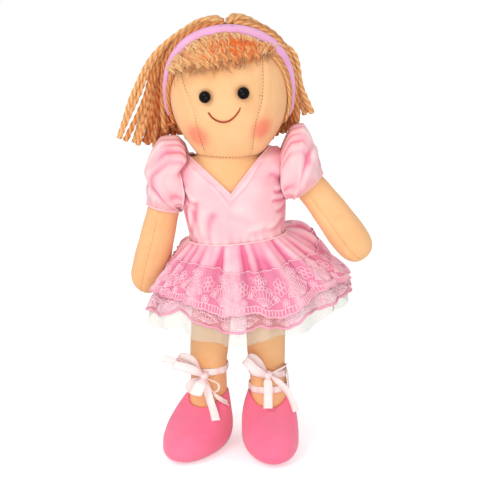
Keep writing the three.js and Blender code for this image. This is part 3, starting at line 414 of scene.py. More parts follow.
def surface(name, points, flat, loop=True, closed=False, marks=None):
    """A grid of points, rows by columns, as a mesh. A loop joins the last column to the first, and
    its flat places have one column more. A closed one has its end rows merged to poles, and its
    faces are turned outwards."""
    rows, columns = points.shape[:2]
    across = columns if loop else columns - 1
    v, u = [grid.ravel() for grid in np.meshgrid(np.arange(rows - 1), np.arange(across), indexing="ij")]
    around = (u + 1) % columns
    faces = np.stack([v * columns + u, v * columns + around,
                      (v + 1) * columns + around, (v + 1) * columns + u], axis=1)
    corners = np.stack([flat[v, u], flat[v, u + 1], flat[v + 1, u + 1], flat[v + 1, u]], axis=1)
    made = add_mesh(name, points.reshape(-1, 3), faces.tolist(), corners, marks or {})
    if closed:
        seal(made)
    return made


def flat_grid(rows, columns, width, length):
    """Flat places for a grid: across the columns up to the width, and down the rows to the length."""
    across, down = np.meshgrid(np.linspace(0, width, columns), np.linspace(0, length, rows))
    return np.stack([across, down], axis=2)


head_rows = 120
head_columns = 180
angle, tilt = np.meshgrid(np.linspace(0, 2 * np.pi, head_columns, endpoint=False),
                          np.linspace(0, np.pi / 2, head_rows))
form = head_form(angle, tilt)
x, y, z = form[..., 0], form[..., 1], form[..., 2]
front = step(-y / 12)
sunk = np.zeros_like(x)
for seam in (left_seam, right_seam):
    inside = step((z - seam[-1, 1] + 6) / 4) * step((seam[0, 1] - z + 6) / 6)
    sunk += 0.55 * bump(x - seam_shift(seam, z), 1.3) * front * inside
    sunk -= 0.35 * bump(np.abs(x - seam_shift(seam, z)) - 3.6, 2.2) * front * inside
for shift, rise in eyes.values():
    away = np.hypot(x - shift, z - rise)
    sunk += (1.7 * bump(away, 4.6) - 0.5 * bump(away - 9, 3.0)) * front
dart_way = np.clip((dart[0, 0] - x) / (dart[0, 0] - dart[1, 0]), 0, 1)
dart_rise = dart[0, 1] + (dart[1, 1] - dart[0, 1]) * dart_way
dart_end = step((x - dart[1, 0] + 2) / 3) * step((dart[0, 0] - x + 1) / 2)
sunk += 0.5 * bump(z - dart_rise, 1.2) * dart_end * front
mouth_away = np.hypot(x - mouth_middle[0], z - mouth_middle[1])
sunk += 0.5 * bump(mouth_away, 9) * front
ripple = np.sin(5 * angle + 1.3) * np.sin(4 * tilt + 0.7) + 0.6 * np.sin(9 * angle + 4 * tilt)
sunk -= 0.22 * ripple
outward = unit(np.stack([x / head_width ** 2, y / head_depth ** 2,
                         np.maximum(z - head_widest, -20) / (3 * head_top) ** 2 * 4], axis=2))
form = form - sunk[..., None] * outward
under_radius = np.array([0.0, 22.0, 24.9])[:, None]
under_rise = np.array([10.6, 9.2, 8.7])[:, None]
ring = angle[0][None]
under = np.stack([under_radius * np.cos(ring), under_radius * np.sin(ring),
                  np.broadcast_to(under_rise, (3, head_columns))], axis=2)
form = np.concatenate([under, form])
head_flat = flat_grid(len(form), head_columns + 1, np.pi * (head_width + head_depth) / 2, 130)
# Rouge on the cheeks, brown painted shade in the eye hollows, and painted fringe shadow on the brow.
rouge_and_shade_spots = [(shift, rise, 1.5 * radius, "#F26D5E", 0.66) for shift, rise, radius in cheeks]
rouge_and_shade_spots += [(shift, rise, 8.0, "#A9713E", 0.55) for shift, rise in eyes.values()]
rouge_and_shade_spots += [(shift, rise, 13.0, "#CB8E55", 0.42) for shift, rise in fringe_shadow_places]
face_rouge_and_shade = []
for shift, rise, radius, colour, strength in rouge_and_shade_spots:
    spot = from_neck(np.array([shift, face_forward(shift, rise), rise]))
    face_rouge_and_shade.append((spot, radius * mm, colour, strength))
face_jersey = knit("peach_face_jersey", "#F4BF8B", "#EDB27C", skin_rib, 0.15, face_rouge_and_shade)
head = surface("head_skin", from_neck(form), head_flat, closed=True)
finish(head, "head", "skin_jersey", face_jersey, "head")


def smooth_curve(points, count):
    """Catmull-Rom through rows of points, one curve a row, at equal steps along each curve."""
    points = np.asarray(points, float)
    ends = [2 * points[:, :1] - points[:, 1:2], points, 2 * points[:, -1:] - points[:, -2:-1]]
    knots = np.concatenate(ends, axis=1)
    way = np.linspace(0, points.shape[1] - 1, 8 * count)
    k = np.minimum(way.astype(int), points.shape[1] - 2)
    t = (way - k)[None, :, None]
    a, b, c, d = (knots[:, k + j] for j in range(4))
    dense = 0.5 * (2 * b + (c - a) * t + (2 * a - 5 * b + 4 * c - d) * t ** 2
                   + (3 * b - a - 3 * c + d) * t ** 3)
    return np.array([read_line(line, run, np.linspace(0, run[-1], count))
                     for line, run in zip(dense, distances(dense))])


def on_face(route, lift, count):
    """A smooth line over the face through places given as shift and rise, and its facings."""
    flat = smooth_curve(np.column_stack([route, np.zeros(len(route))])[None], count)[0]
    forward = face_forward(flat[:, 0], flat[:, 1])
    points = np.column_stack([flat[:, 0], forward, flat[:, 1]])
    facing = unit(np.column_stack([flat[:, 0] / head_width ** 2, forward / head_depth ** 2,
                                   (flat[:, 1] - head_widest) / (4 * head_top) ** 2]))
    return from_neck(points + lift * facing), facing


for side, seam in {"left": left_seam, "right": right_seam}.items():
    line, facing = on_face(seam, -0.4, 120)
    stitches("face_seam_" + side, line, facing, "head", "skin_jersey", seam_thread)
line, facing = on_face(dart, -0.35, 24)
stitches("eye_dart", line, facing, "head", "skin_jersey", seam_thread)
ring_angle = np.radians(np.linspace(-165, -15, 90))
neck_line = np.column_stack([(head_rim_radius + 0.1) * np.cos(ring_angle),
                             (head_rim_radius + 0.1) * np.sin(ring_angle), np.full(90, head_rim - 0.2)])
stitches("neck_seam", from_neck(neck_line), unit(neck_line * (1, 1, 0)), "head", "skin_jersey", seam_thread)


# Eyes: round black beads of polished acrylic on shanks, pulled into the face and locked by a
# washer inside. Their gloss is the brightest on the doll. The washers are moulded polythene, and
# the wad that stiffens the neck between them and the chest is polyester filling.
acrylic, tree, shader = new_material("black_polished_acrylic")
wear = node(tree, "TexNoise", {"Vector": node(tree, "TexCoord").outputs["Object"], "Scale": 1 / (1.5 * mm)})
wear = node(tree, "MapRange", {"Value": wear.outputs["Fac"], "To Min": 0.05, "To Max": 0.12})
tree.links.new(wear.outputs["Result"], shader.inputs["Roughness"])
shader.inputs["Base Color"].default_value = linear("#040304")
shader.inputs["IOR"].default_value = 1.49
shader.inputs["Specular IOR Level"].default_value = 0.13
for side, (shift, rise) in eyes.items():
    forward = face_forward(shift, rise)
    out = unit(np.array([shift / head_width, forward / head_depth, 0]))
    across = np.cross(out, [0, 0, 1.0])
    turn = np.linspace(0, 2 * np.pi, 48, endpoint=False)[None, :, None]
    bend = np.linspace(-np.pi / 2, np.pi / 2, 28)[:, None, None]
    bead = np.cos(bend) * eye_radius * (np.cos(turn) * across + np.sin(turn) * np.array([0, 0, 1.0]))
    bead = bead + np.sin(bend) * eye_dome * out
    centre = np.array([shift, forward, rise]) + (eye_dome - 1.0) * out
    made = surface("eye_bead_" + side, from_neck(bead + centre), flat_grid(28, 49, 27, 14), closed=True)
    finish(made, "head", "eye_bead", acrylic, "eye_" + side)

polythene, tree, shader = new_material("white_moulded_polythene")
grain = node(tree, "TexNoise", {"Vector": node(tree, "TexCoord").outputs["Object"], "Scale": 1 / (0.8 * mm)})
relief = node(tree, "Bump", {"Height": grain.outputs["Fac"], "Distance": 0.05 * mm})
tree.links.new(relief.outputs["Normal"], shader.inputs["Normal"])
shader.inputs["Base Color"].default_value = linear("#ECECE6")
shader.inputs["Roughness"].default_value = 0.45
for side in ("left", "right"):
    washer = frame["nodes"]["eye_washer_" + side]
    washer.data.materials.clear()
    washer.data.materials.append(polythene)
filling = knit("white_polyester_filling", "#F4F2EE", "#E9E5DD", 2.0, 0.3)
wad = frame["nodes"]["neck_stuffing"]
wad.data.materials.clear()
wad.data.materials.append(filling)

# Smile: one line of rust red embroidery thread, two plies twisted, laid along the face and caught
# down by the same thread.
rust_thread = thread_cloth("rust_embroidery_cotton", "#B0461F", "#8E3216")
smile_radius = 0.62
smile_route = np.array([(-14.7, 44.6), (-11.6, 40.6), (-7.4, 38.2), (-3.4, 37.6),
                        (0.8, 38.8), (4.8, 42.2), (7.6, 46.2), (8.4, 48.6)])
line, facing = on_face(smile_route, 0.1, 160)
smile = tubes("smile_stitch", line[None], smile_radius * mm, facing[None], 10, 2, 2.6, 0.18)
finish(smile, "head", "mouth_thread", rust_thread, "smile_thread")


# Trunk: a stuffed jersey bag, narrow at the waist and full at the chest, with a round neck that
# fills the neckline. The dress covers all of it but the neck and the V.
trunk_half_width = 42
trunk_half_depth = 30
trunk_rises = np.array([-50, -46, -35, -17.5, 0, 26, 46.8, 55.3, 60.5, 63.7, 65.2])
trunk_widths = trunk_half_width * np.array([0.62, 0.84, 0.97, 0.97, 0.84, 0.92, 1, 1, 0.96, 0.9, 0.8])
trunk_depths = trunk_half_depth * np.array([0.5, 0.76, 0.95, 0.96, 0.9, 0.98, 0.97, 0.84, 0.64, 0.36, 0])
shoulder_crest = 65.2
trunk_floor = -31.0
neck_radius = 25.6


def table(x, places, values, width=0.0):
    """A value read from a table and softened: the mean of straight reads a little to each side."""
    offsets = np.linspace(-width, width, 7)
    return np.mean([np.interp(x + offset, places, values) for offset in offsets], axis=0)


def trunk_halves(rise):
    """Half width and half depth of the trunk at a rise above the waist."""
    width = table(rise, trunk_rises, trunk_widths, 3.0)
    depth = table(rise, trunk_rises, trunk_depths, 0.6)
    close = np.sqrt(np.clip((shoulder_crest - rise) / 6.0, 0, 1))
    return width, depth * np.where(rise > 59.2, close, 1) ** 0.5


rises = np.concatenate([[trunk_floor, trunk_floor], np.linspace(trunk_floor + 1.5, 64.6, 90),
                        neck_rise + neck_radius * np.sin(np.linspace(0.34, np.pi / 2, 24))])
angle, rise = np.meshgrid(np.linspace(0, 2 * np.pi, 144, endpoint=False), rises)
width, depth = trunk_halves(np.minimum(rise, 64.9))
trunk_radius = 1 / np.sqrt((np.cos(angle) / width) ** 2 + (np.sin(angle) / np.maximum(depth, 0.5)) ** 2)
trunk_radius = trunk_radius * np.clip((shoulder_crest - rise) / 1.2, 0, 1) ** 0.5
ball = np.sqrt(np.clip(neck_radius ** 2 - (rise - neck_rise) ** 2, 0, None))
ball = np.maximum(ball + neck_shift * np.cos(angle), 0)
blend_power = 14
radius = (trunk_radius ** blend_power + ball ** blend_power) ** (1 / blend_power)
radius[0] = 0
radius[1] *= 0.93
radius[-1] = 0
form = np.stack([radius * np.cos(angle), radius * np.sin(angle), rise], axis=2)
form[-1, :, 0] = neck_shift
trunk = surface("trunk_skin", from_waist(form), flat_grid(len(rises), 145, 230, 115), closed=True)
finish(trunk, "torso", "skin_jersey", skin_jersey, "torso")


# Arms: jersey tubes, sewn shut along a seam that shows on the front, stuffed to mitten hands and
# bent a little at the elbow. The left hand hangs behind the skirt and the right one before it.
shoulder_rise = 47
arm_width = 13.4
arm_depth = 12.6
trunk_side = 42.3
arm_root = 6
arm_cap = 15
upper_arm = 33
arm_ways = np.array([0, 0.1, 0.25, 0.5, 0.72, 0.86, 1])
arm_shares = np.array([0.72, 0.8, 0.9, 0.99, 1.08, 1.04, 0.98])
# The three angles from straight down are those of the cap, the upper arm and the forearm.
arms = {
    "left": {"sign": -1, "angles": (17, 18, 19), "forearm": 48, "ahead": -9, "sleeve": 28,
             "seam": -75, "dimple": (0.5, -60)},
    "right": {"sign": 1, "angles": (40, 33, 31), "forearm": 38, "ahead": 14, "sleeve": 22,
              "seam": -112, "dimple": (0.56, -80)},
}


def arm_line(arm, count):
    """The middle of an arm: out of the shoulder, then down three stretches at their own angles."""
    ahead = np.radians(arm["ahead"])
    spot = np.array([arm["sign"] * trunk_side, 0, shoulder_rise], float)
    places = [spot, spot + (arm["sign"] * arm_root, 0, 0)]
    for degrees, length in zip(arm["angles"], (arm_cap, upper_arm, arm["forearm"])):
        spread = np.radians(degrees)
        way = unit(np.array([arm["sign"] * np.sin(spread), -np.sin(ahead), -np.cos(spread) * np.cos(ahead)]))
        places.append(places[-1] + length * way)
    return smooth_curve(np.array(places)[None], count)[0]


def arm_half(way):
    """The arm's fullness along it, closed at the hand by a round superellipse."""
    end = np.clip((way - 0.82) / 0.18, 0, 1)
    return table(way, arm_ways, arm_shares, 0.06) * (1 - end ** 2.3) ** (1 / 2.3)


def arm_directions(line):
    """Front-to-back and outward directions along an arm's middle."""
    tangent = unit(np.gradient(line, axis=0))
    across = unit(back_way - tangent[:, 1:2] * tangent)
    return across, np.cross(across, tangent)


arm_rows = 130
arm_columns = 72
for side, arm in arms.items():
    way = np.concatenate([[0, 0], 1 - (1 - np.linspace(0, 1, arm_rows - 2)) ** 1.25])
    line = arm_line(arm, 400)
    spot, across, out = (read_line(values, np.linspace(0, 1, 400), way)
                         for values in (line, *arm_directions(line)))
    turn = np.linspace(0, 2 * np.pi, arm_columns, endpoint=False)
    half = arm_half(way)
    half[0] = 0
    w, a = way[:, None], turn[None]
    seam = np.radians(arm["seam"])
    off_seam = np.abs((a - seam + np.pi) % (2 * np.pi) - np.pi) * arm_width
    along = w * (arm_root + arm_cap + upper_arm + arm["forearm"])
    dimple_way, dimple_turn = arm["dimple"]
    off_dimple = np.abs((a - np.radians(dimple_turn) + np.pi) % (2 * np.pi) - np.pi) * arm_width
    dimple_run = (w - dimple_way) * 100
    sunk = 0.5 * bump(off_seam, 1.1) * step((w - 0.18) / 0.05)
    sunk = sunk - 0.3 * bump(off_seam - 3.4, 2.0)
    sunk = sunk + 1.5 * bump(np.hypot(off_dimple, dimple_run), 5.5)
    elbow = 0.35 * bump(off_dimple, 9) * bump(dimple_run, 13)
    sunk = sunk + elbow * np.sin(0.8 * dimple_run + 0.15 * off_dimple)
    sunk = sunk + 0.3 * np.sin(3 * a + 5 * w) * np.sin(7 * w + 1) + 0.1 * np.sin(along * 0.3 + 3 * np.cos(a))
    puckers = bump(off_seam, 4.0) * np.sin(2 * np.pi * along / 5.0)
    sunk = sunk + 0.08 * puckers
    fade = np.clip(half * 2, 0, 1)[:, None]
    deep = (arm_depth * half)[:, None] - sunk * fade
    wide = (arm_width * half)[:, None] - sunk * fade
    form = (spot[:, None] + (deep * np.cos(a + np.pi / 2))[..., None] * across[:, None] * -1
            + (wide * np.sin(a + np.pi / 2))[..., None] * out[:, None] * -arm["sign"])
    form[0] = spot[0]
    form[-1] = spot[-1]
    made = surface("arm_skin_" + side, from_waist(form), flat_grid(arm_rows, arm_columns + 1, 82, 105),
                   closed=True)
    finish(made, "arm_" + side, "skin_jersey", skin_jersey, "arm_" + side)
    shown = slice(int(0.3 * arm_rows), arm_rows - 4)
    column = int(round((arm["seam"] % 360) / 360 * arm_columns)) % arm_columns
    line = from_waist(form[shown, column])
    facing = unit(line - from_waist(spot[shown]))
    stitches("arm_seam_" + side, line, facing, "arm_" + side, "skin_jersey", peach_thread)


# Legs: straight stuffed tubes of the same jersey, sewn up at the back, that run into the shoes.
# The filling makes them a little uneven, and the ribbon pulls a waist into each ankle.
hip_height = 125
hip_radius = 15.6
leg_foot = 24
leg_places = {
    "left": {"hip": joints["hip_left"]["pos_m"][0] / mm, "splay": -3.7, "turn": -27, "wrap": 64},
    "right": {"hip": joints["hip_right"]["pos_m"][0] / mm, "splay": 3.5, "turn": 5, "wrap": 62},
}
leg_levels = np.array([leg_foot, 30, 48, 58, 66, 84, 104, hip_height])
leg_radii = np.array([12.4, 14.6, 14.7, 14.2, 14.5, 15.3, 15.5, hip_radius])
ankle_height = 48
leg_rows = 120
leg_columns = 72


def leg_middle(leg, height):
    """The leg's middle at a height: straight from the hip to the splayed ankle."""
    way = (hip_height - height) / (hip_height - ankle_height)
    return leg["hip"] + leg["splay"] * way


for side, leg in leg_places.items():
    top = hip_height + hip_radius * np.sin(np.linspace(0, np.pi / 2, 26)[1:])
    height = np.concatenate([[leg_foot] * 2, np.linspace(leg_foot + 1, hip_height, leg_rows - 27), top])
    dome = np.sqrt(np.clip(hip_radius ** 2 - (height - hip_height) ** 2, 0, None))
    radius = np.where(height > hip_height, dome, table(height, leg_levels, leg_radii, 4.0))
    radius[0] = 0
    radius[-1] = 0
    turn = np.linspace(0, 2 * np.pi, leg_columns, endpoint=False)[None]
    h = height[:, None]
    sunk = 0.3 * np.sin(3 * turn + h / 9) + 0.25 * np.sin(5 * turn - h / 13 + 2)
    sunk = sunk + 0.6 * bump((turn - np.pi / 2) * 15, 1.2)
    sunk = sunk + 0.3 * bump(h - leg["wrap"] - 6, 3.5) * np.sin(7 * turn + 1)
    fade = np.clip(radius / 6, 0, 1)[:, None]
    around = radius[:, None] - sunk * fade
    form = np.stack([leg_middle(leg, h) + around * np.cos(turn), around * np.sin(turn),
                     np.broadcast_to(h, around.shape)], axis=2)
    cloth = flat_grid(len(height), leg_columns + 1, 96, 116)
    made = surface("leg_skin_" + side, mm * form, cloth, closed=True)
    finish(made, "leg_" + side, "skin_jersey", skin_jersey, "leg_" + side)
    line = mm * form[8:-30, leg_columns // 4]
    facing = np.broadcast_to([0, 1.0, 0], line.shape)
    stitches("leg_seam_" + side, line, facing, "leg_" + side, "skin_jersey", peach_thread)


# Shoes: brushed jersey in strong pink, stuffed like slippers, round in the toe and cut low in
# front of the ankle, each on a flat sole of the same cloth.
shoe_toe = 57
shoe_heel = 24
shoe_width = 44
shoe_height = 43
shoe_dip = 8.5
sole_thickness = 1.5
shoe_levels = np.array([0, 0.06, 0.2, 0.42, 0.62, 0.8, 0.93, 1])
shoe_toes = shoe_toe * np.array([0.84, 0.95, 1.0, 0.97, 0.85, 0.62, 0.41, 0.3])
shoe_heels = shoe_heel * np.array([0.94, 0.98, 1.0, 0.98, 0.92, 0.85, 0.79, 0.74])
shoe_halves = shoe_width / 2 * np.array([0.8, 0.94, 1.02, 1.03, 0.99, 0.9, 0.8, 0.73])
shoe_jersey = knit("pink_brushed_jersey", "#FC7C9C", "#F87092", 1.0, 0.35)


def shoe_ring(leg, toe, heel, half, height, turn):
    """An oval round the ankle's axis, drawn out to the toe and turned with the foot."""
    middle = (heel - toe) / 2
    reach = (heel + toe) / 2
    x = half * np.cos(turn)
    y = middle + reach * np.sin(turn)
    aim = np.radians(leg["turn"])
    ankle = leg["hip"] + leg["splay"]
    return np.stack([ankle + x * np.cos(aim) - y * np.sin(aim), x * np.sin(aim) + y * np.cos(aim),
                     height + 0 * x], axis=-1)


for side, leg in leg_places.items():
    level = np.linspace(0, 1, 80)[:, None]
    turn = np.linspace(0, 2 * np.pi, 96, endpoint=False)[None]
    front = step(-np.sin(turn) * 0.9)
    bottom = sole_thickness + 0.3
    edge = shoe_height - shoe_dip * front
    height = bottom + level * (edge - bottom)
    spans = [table(level, shoe_levels, values, 0.05) for values in (shoe_toes, shoe_heels, shoe_halves)]
    form = shoe_ring(leg, *spans, height, turn)
    crease = 0.35 * np.sin(4 * turn + 6 * level) + 0.22 * np.sin(9 * turn + 2) * level
    centre = form.mean(axis=1, keepdims=True)
    form = form - unit((form - centre) * (1, 1, 0)) * (crease * np.sin(np.pi * level))[..., None]
    inward = unit((centre[-1] - form[-1]) * (1, 1, 0))
    well = np.broadcast_to(centre[-1] - (0, 0, 12), form[-1].shape)
    rim = np.array([form[-1] + inward * 0.6 + (0, 0, 0.5), form[-1] + inward * 1.6 + (0, 0, 0.3),
                    form[-1] + inward * 2.6 + (0, 0, -2.0), well])
    underside = form[0].mean(axis=0)
    base = np.array([np.broadcast_to(underside, form[0].shape), form[0] + 0.05 * (underside - form[0])])
    whole = np.concatenate([base, form, rim])
    made = surface("shoe_upper_" + side, mm * whole, flat_grid(len(whole), 97, 150, 60), closed=True)
    finish(made, "leg_" + side, "shoe_jersey", shoe_jersey, "shoe_" + side)
    pad_level = np.array([0, 0, 0.15, 0.5, 1.0, 1.0])[:, None]
    pad_share = np.array([0, 0.93, 0.98, 1.0, 0.985, 0])[:, None]
    pad = shoe_ring(leg, (shoe_toes[0] - 1) * pad_share, (shoe_heels[0] - 1) * pad_share,
                    (shoe_halves[0] - 1) * pad_share, sole_thickness * pad_level, turn)
    made = surface("sole_pad_" + side, mm * pad, flat_grid(6, 97, 140, 20), closed=True)
    finish(made, "leg_" + side, "shoe_jersey", shoe_jersey, "sole_" + side)


# Bodice: pale pink polyester satin, lined, cut to the trunk with a V neck whose facing is pressed
# in. Satin shows each pull as a soft fold, with painted shade deeper pink in the valleys and painted
# light paler on top.
satin_gap = 2.0
satin_thickness = 0.6
bodice_centre = np.array([0, 0, 26.0])
bodice_floor = -3.0
neckline_radius = 28.9
neck_tip_rise = 30.6
neck_slope = 1.16
neck_lean = 0.255
neckline_roll_radius = 0.75
armhole_middle = 44
armhole_half = np.array([17.5, 18.0])
armhole_side = 42.4
bodice_columns = 320
bodice_rows = 110
# Each pull: the shift and rise of its two ends, its width and its depth.
front_pulls = np.array([
    (-37.5, 7, -37, 30, 1.5, 1.0), (-34, 5, -32, 27, 1.4, 0.9), (-30, 4, -28.5, 36, 2.2, 1.0),
    (-40, 40, -30, 31, 1.8, 1.0), (-24, 3, -16, 26, 3.2, 0.8), (31, 36, 42, 35, 1.5, 1.0),
    (29, 28, 42, 29, 1.5, 0.9), (31, 20, 42, 23, 1.6, 0.8), (24, 5, 38, 12, 2.0, 0.8),
    (10, 4, 24, 9, 2.4, 0.6), (28, 50, 40, 44, 2.4, 0.7), (-1.2, 31, -29, 62, 0.9, 0.45),
    (-1.2, 31, 27, 62, 0.9, 0.45), (-5, 22, 14, 12, 4.0, 0.4)])
back_pulls = np.array([
    (-30, 5, -26, 32, 2.0, 0.9), (28, 5, 24, 30, 2.0, 0.9), (-38, 36, -26, 30, 1.6, 0.8),
    (38, 36, 27, 29, 1.6, 0.8), (-16, 4, -14, 18, 2.0, 0.6), (17, 4, 15, 19, 2.0, 0.6)])


def satin(name, pale, middle, deep):
    """Satin: the fold attribute paints shade, deep pink in the valleys, and painted light, pale on the
    ridges; floats of thread half a millimetre apart lie in the bump, and the gloss is soft and wide."""
    made, tree, shader = new_material(name)
    place = node(tree, "TexCoord").outputs["Object"]
    # Painted shade and light: the fold attribute, with a little noise, runs from deep pink to pale.
    fold = node(tree, "Attribute", attribute_name="fold").outputs["Fac"]
    cloud = node(tree, "TexNoise", {"Vector": place, "Scale": 1 / (16 * mm), "Detail": 2.0}).outputs["Fac"]
    cloud = node(tree, "Math", {0: cloud, 1: 0.5}, operation="SUBTRACT").outputs[0]
    height = node(tree, "Math", {0: cloud, 1: 0.55, 2: fold}, operation="MULTIPLY_ADD").outputs[0]
    ramp = node(tree, "ValToRGB", {"Fac": height})
    ramp.color_ramp.elements[0].position = 0.12
    ramp.color_ramp.elements[0].color = linear(deep)
    ramp.color_ramp.elements[1].position = 0.85
    ramp.color_ramp.elements[1].color = linear(pale)
    ramp.color_ramp.elements.new(0.46).color = linear(middle)
    tree.links.new(ramp.outputs["Color"], shader.inputs["Base Color"])
    flat = node(tree, "UVMap", uv_map="cloth").outputs["UV"]
    floats = node(tree, "TexWave", {"Vector": flat, "Scale": 0.62, "Distortion": 2.0, "Detail": 2.0},
                  bands_direction="Y")
    relief = node(tree, "Bump", {"Height": floats.outputs["Fac"], "Distance": 0.05 * mm, "Strength": 0.3})
    tree.links.new(relief.outputs["Normal"], shader.inputs["Normal"])
    shader.inputs["Roughness"].default_value = 0.42
    shader.inputs["Specular IOR Level"].default_value = 0.45
    shader.inputs["Sheen Weight"].default_value = 0.25
    shader.inputs["Sheen Roughness"].default_value = 0.35
    shader.inputs["Sheen Tint"].default_value = linear("#FFE3EC")
    return made


def pulls(x, z, lines):
    """Folds along straight lines, each a valley with a lower ridge beside it: the sum of two bells
    of the distance from the line, faded at its ends."""
    total = np.zeros_like(x)
    for x0, z0, x1, z1, width, depth in lines:
        length = np.hypot(x1 - x0, z1 - z0)
        along = ((x - x0) * (x1 - x0) + (z - z0) * (z1 - z0)) / length ** 2
        away = ((z - z0) * (x1 - x0) - (x - x0) * (z1 - z0)) / length
        away = away + 0.9 * np.sin(6 * along + x0)
        shown = step(along / 0.25 + 0.4) * step((1 - along) / 0.25 + 0.4)
        total += depth * shown * (0.75 * bump(away - 1.9 * width, 1.3 * width) - bump(away, width))
    return total


def reach(centre, way, covered):
    """How far along each direction a form goes on, found by halving a stretch of 140 mm."""
    low, high = np.zeros(way.shape[:-1]), np.full(way.shape[:-1], 140.0)
    for _ in range(26):
        middle = (low + high) / 2
        inside = covered(centre + middle[..., None] * way)
        low, high = np.where(inside, middle, low), np.where(inside, high, middle)
    return low


def in_trunk(points, grow):
    """Inside the trunk grown by that much: an oval of its widths and depths at each rise."""
    rise = points[..., 2] * shoulder_crest / (shoulder_crest + grow)
    width, depth = trunk_halves(rise)
    oval = (points[..., 0] / (width + grow)) ** 2 + (points[..., 1] / (depth + grow)) ** 2
    return (oval < 1) & (rise < shoulder_crest)


def directions(turn, lift):
    """Unit directions at a turn round the trunk and a lift above level."""
    return np.stack([np.cos(lift) * np.cos(turn), np.cos(lift) * np.sin(turn), np.sin(lift)], axis=-1)


def in_neckline(points):
    """Inside the neckline: near the neck's middle, or above the V at the front, whose two edges run
    straight up and back to the shoulders."""
    from_pivot = np.linalg.norm(points - (neck_shift, 0, neck_rise), axis=-1)
    aside = np.abs(points[..., 0] - neck_shift)
    rise = points[..., 2] + neck_lean * points[..., 1]
    above = rise > neck_tip_rise + neck_slope * aside
    return (from_pivot < neckline_radius) | ((points[..., 1] < 2) & above)


def dress_satin(name, form, outward, height, gain, width, length):
    """A satin surface with its fold attribute, its painted shade and light, from the height of its
    folds in millimetres.
    """
    rows, columns = height.shape
    # The gain sets how strongly the fold height is painted as shade and light.
    fold = np.clip(0.58 + gain * height, 0, 1)
    return surface(name, from_waist(form + height[..., None] * outward),
                   flat_grid(rows, columns + 1, width, length), marks={"fold": fold})


def sewn(made, thickness):
    """Gives a single surface its cloth's thickness, behind its faces or, if negative, before them."""
    wall = made.modifiers.new("cloth_thickness", "SOLIDIFY")
    wall.thickness = thickness * mm
    wall.offset = -1
    return made


turn = np.linspace(0, 2 * np.pi, bodice_columns, endpoint=False)
width, depth = trunk_halves(np.array([bodice_floor]))
oval = 1 / np.hypot(np.cos(turn) / (width + satin_gap), np.sin(turn) / (depth + satin_gap))
lowest = np.arctan2(bodice_floor - bodice_centre[2], oval)
low, high = np.full(bodice_columns, -0.1), np.full(bodice_columns, np.pi / 2 - 0.01)
for _ in range(24):
    middle = (low + high) / 2
    way = directions(turn, middle)
    spot = bodice_centre + reach(bodice_centre, way, lambda p: in_trunk(p, satin_gap))[:, None] * way
    cut = in_neckline(spot)
    low, high = np.where(cut, low, middle), np.where(cut, middle, high)
lift = lowest + (low - lowest) * np.linspace(0, 1, bodice_rows)[:, None]
way = directions(np.broadcast_to(turn, lift.shape), lift)
form = bodice_centre + reach(bodice_centre, way, lambda p: in_trunk(p, satin_gap))[..., None] * way
x, y, z = form[..., 0], form[..., 1], form[..., 2]
outward = unit(form * (1, 1.6, 0.2) - (0, 0, 5))
height = np.where(y < 0, pulls(x, z, front_pulls), pulls(x, z, back_pulls)) * step(np.abs(y) / 8)
height += 0.35 * np.sin(26 * turn[None] + np.sin(5 * turn[None])) * np.exp(-np.clip(z, 0, None) / 6)
height += 0.25 * np.sin(5 * turn[None] + z / 9) * np.sin(z / 14 + 1)
edge_fade = step((1 - np.linspace(0, 1, bodice_rows)[:, None]) / 0.06)
height *= edge_fade
# Painted shade on the sides below the armholes: a shallow sink that also turns the satin deeper pink.
height -= 0.9 * step((np.abs(x - 1) - 27) / 12) * step((20 - y) / 30) * edge_fade
armhole = np.hypot(y / armhole_half[0], (z - armhole_middle) / armhole_half[1]) < 1
form[..., 0] = np.where(armhole, np.clip(x, -armhole_side, armhole_side), x)
pale_satin = satin("pale_pink_polyester_satin", "#F8D0D1", "#F3B8C0", "#E8849D")
bodice = dress_satin("bodice_satin", form, outward, height, 0.36, 240.0, 70.0)
finish(sewn(bodice, satin_thickness), "torso", "pink_satin", pale_satin, "bodice")
rim = from_waist(form[-1] + 0.25 * outward[-1])
rim = np.concatenate([rim, rim[:2]])
facing = unit(rim - from_waist(bodice_centre))
roll = tubes("neckline_roll", rim[None], neckline_roll_radius * mm, facing[None], 8)
finish(roll, "torso", "pink_satin", pale_satin)

# Waist piping and armhole seams: bias strips of the satin over a cord, sewn into each join. The
# back opens on two strips of hook and loop tape, one on each edge.
waist_half = np.array([38.2, 30.1])
piping_radius = 0.8
armhole_seam_half = np.array([17.9, 18.3])
armhole_seam_radius = 0.9
turn = np.linspace(0, 2 * np.pi, 161)
ring = np.stack([waist_half[0] * np.cos(turn), waist_half[1] * np.sin(turn), 0.15 + 0 * turn], axis=1)
ring[:, :2] *= 1 + 0.006 * np.sin(17 * turn)[:, None]
piping = tubes("waist_piping_cord", from_waist(ring)[None], piping_radius * mm, unit(ring)[None], 10, 1, 3.4,
               0.06)
finish(piping, "torso", "pink_satin", pale_satin, "waist_piping")


def bodice_side(y, rise):
    """How far out the bodice's side stands at a depth and a rise."""
    width, depth = trunk_halves(np.clip(rise, 0, 61))
    return (width + satin_gap) * np.sqrt(np.clip(1 - (y / (depth + satin_gap + 3)) ** 2, 0, 1))


for side, sign in {"left": -1, "right": 1}.items():
    y, rise = armhole_seam_half[0] * np.cos(turn), armhole_middle + armhole_seam_half[1] * np.sin(turn)
    ring = np.stack([sign * (bodice_side(y, rise) + 0.2), y, rise], axis=1)
    facing = np.broadcast_to(sign * right_way, ring.shape)
    seam = tubes("armhole_seam_" + side, from_waist(ring)[None], armhole_seam_radius * mm, facing[None], 8, 1,
                 2.6, 0.1)
    finish(seam, "torso", "pink_satin", pale_satin)

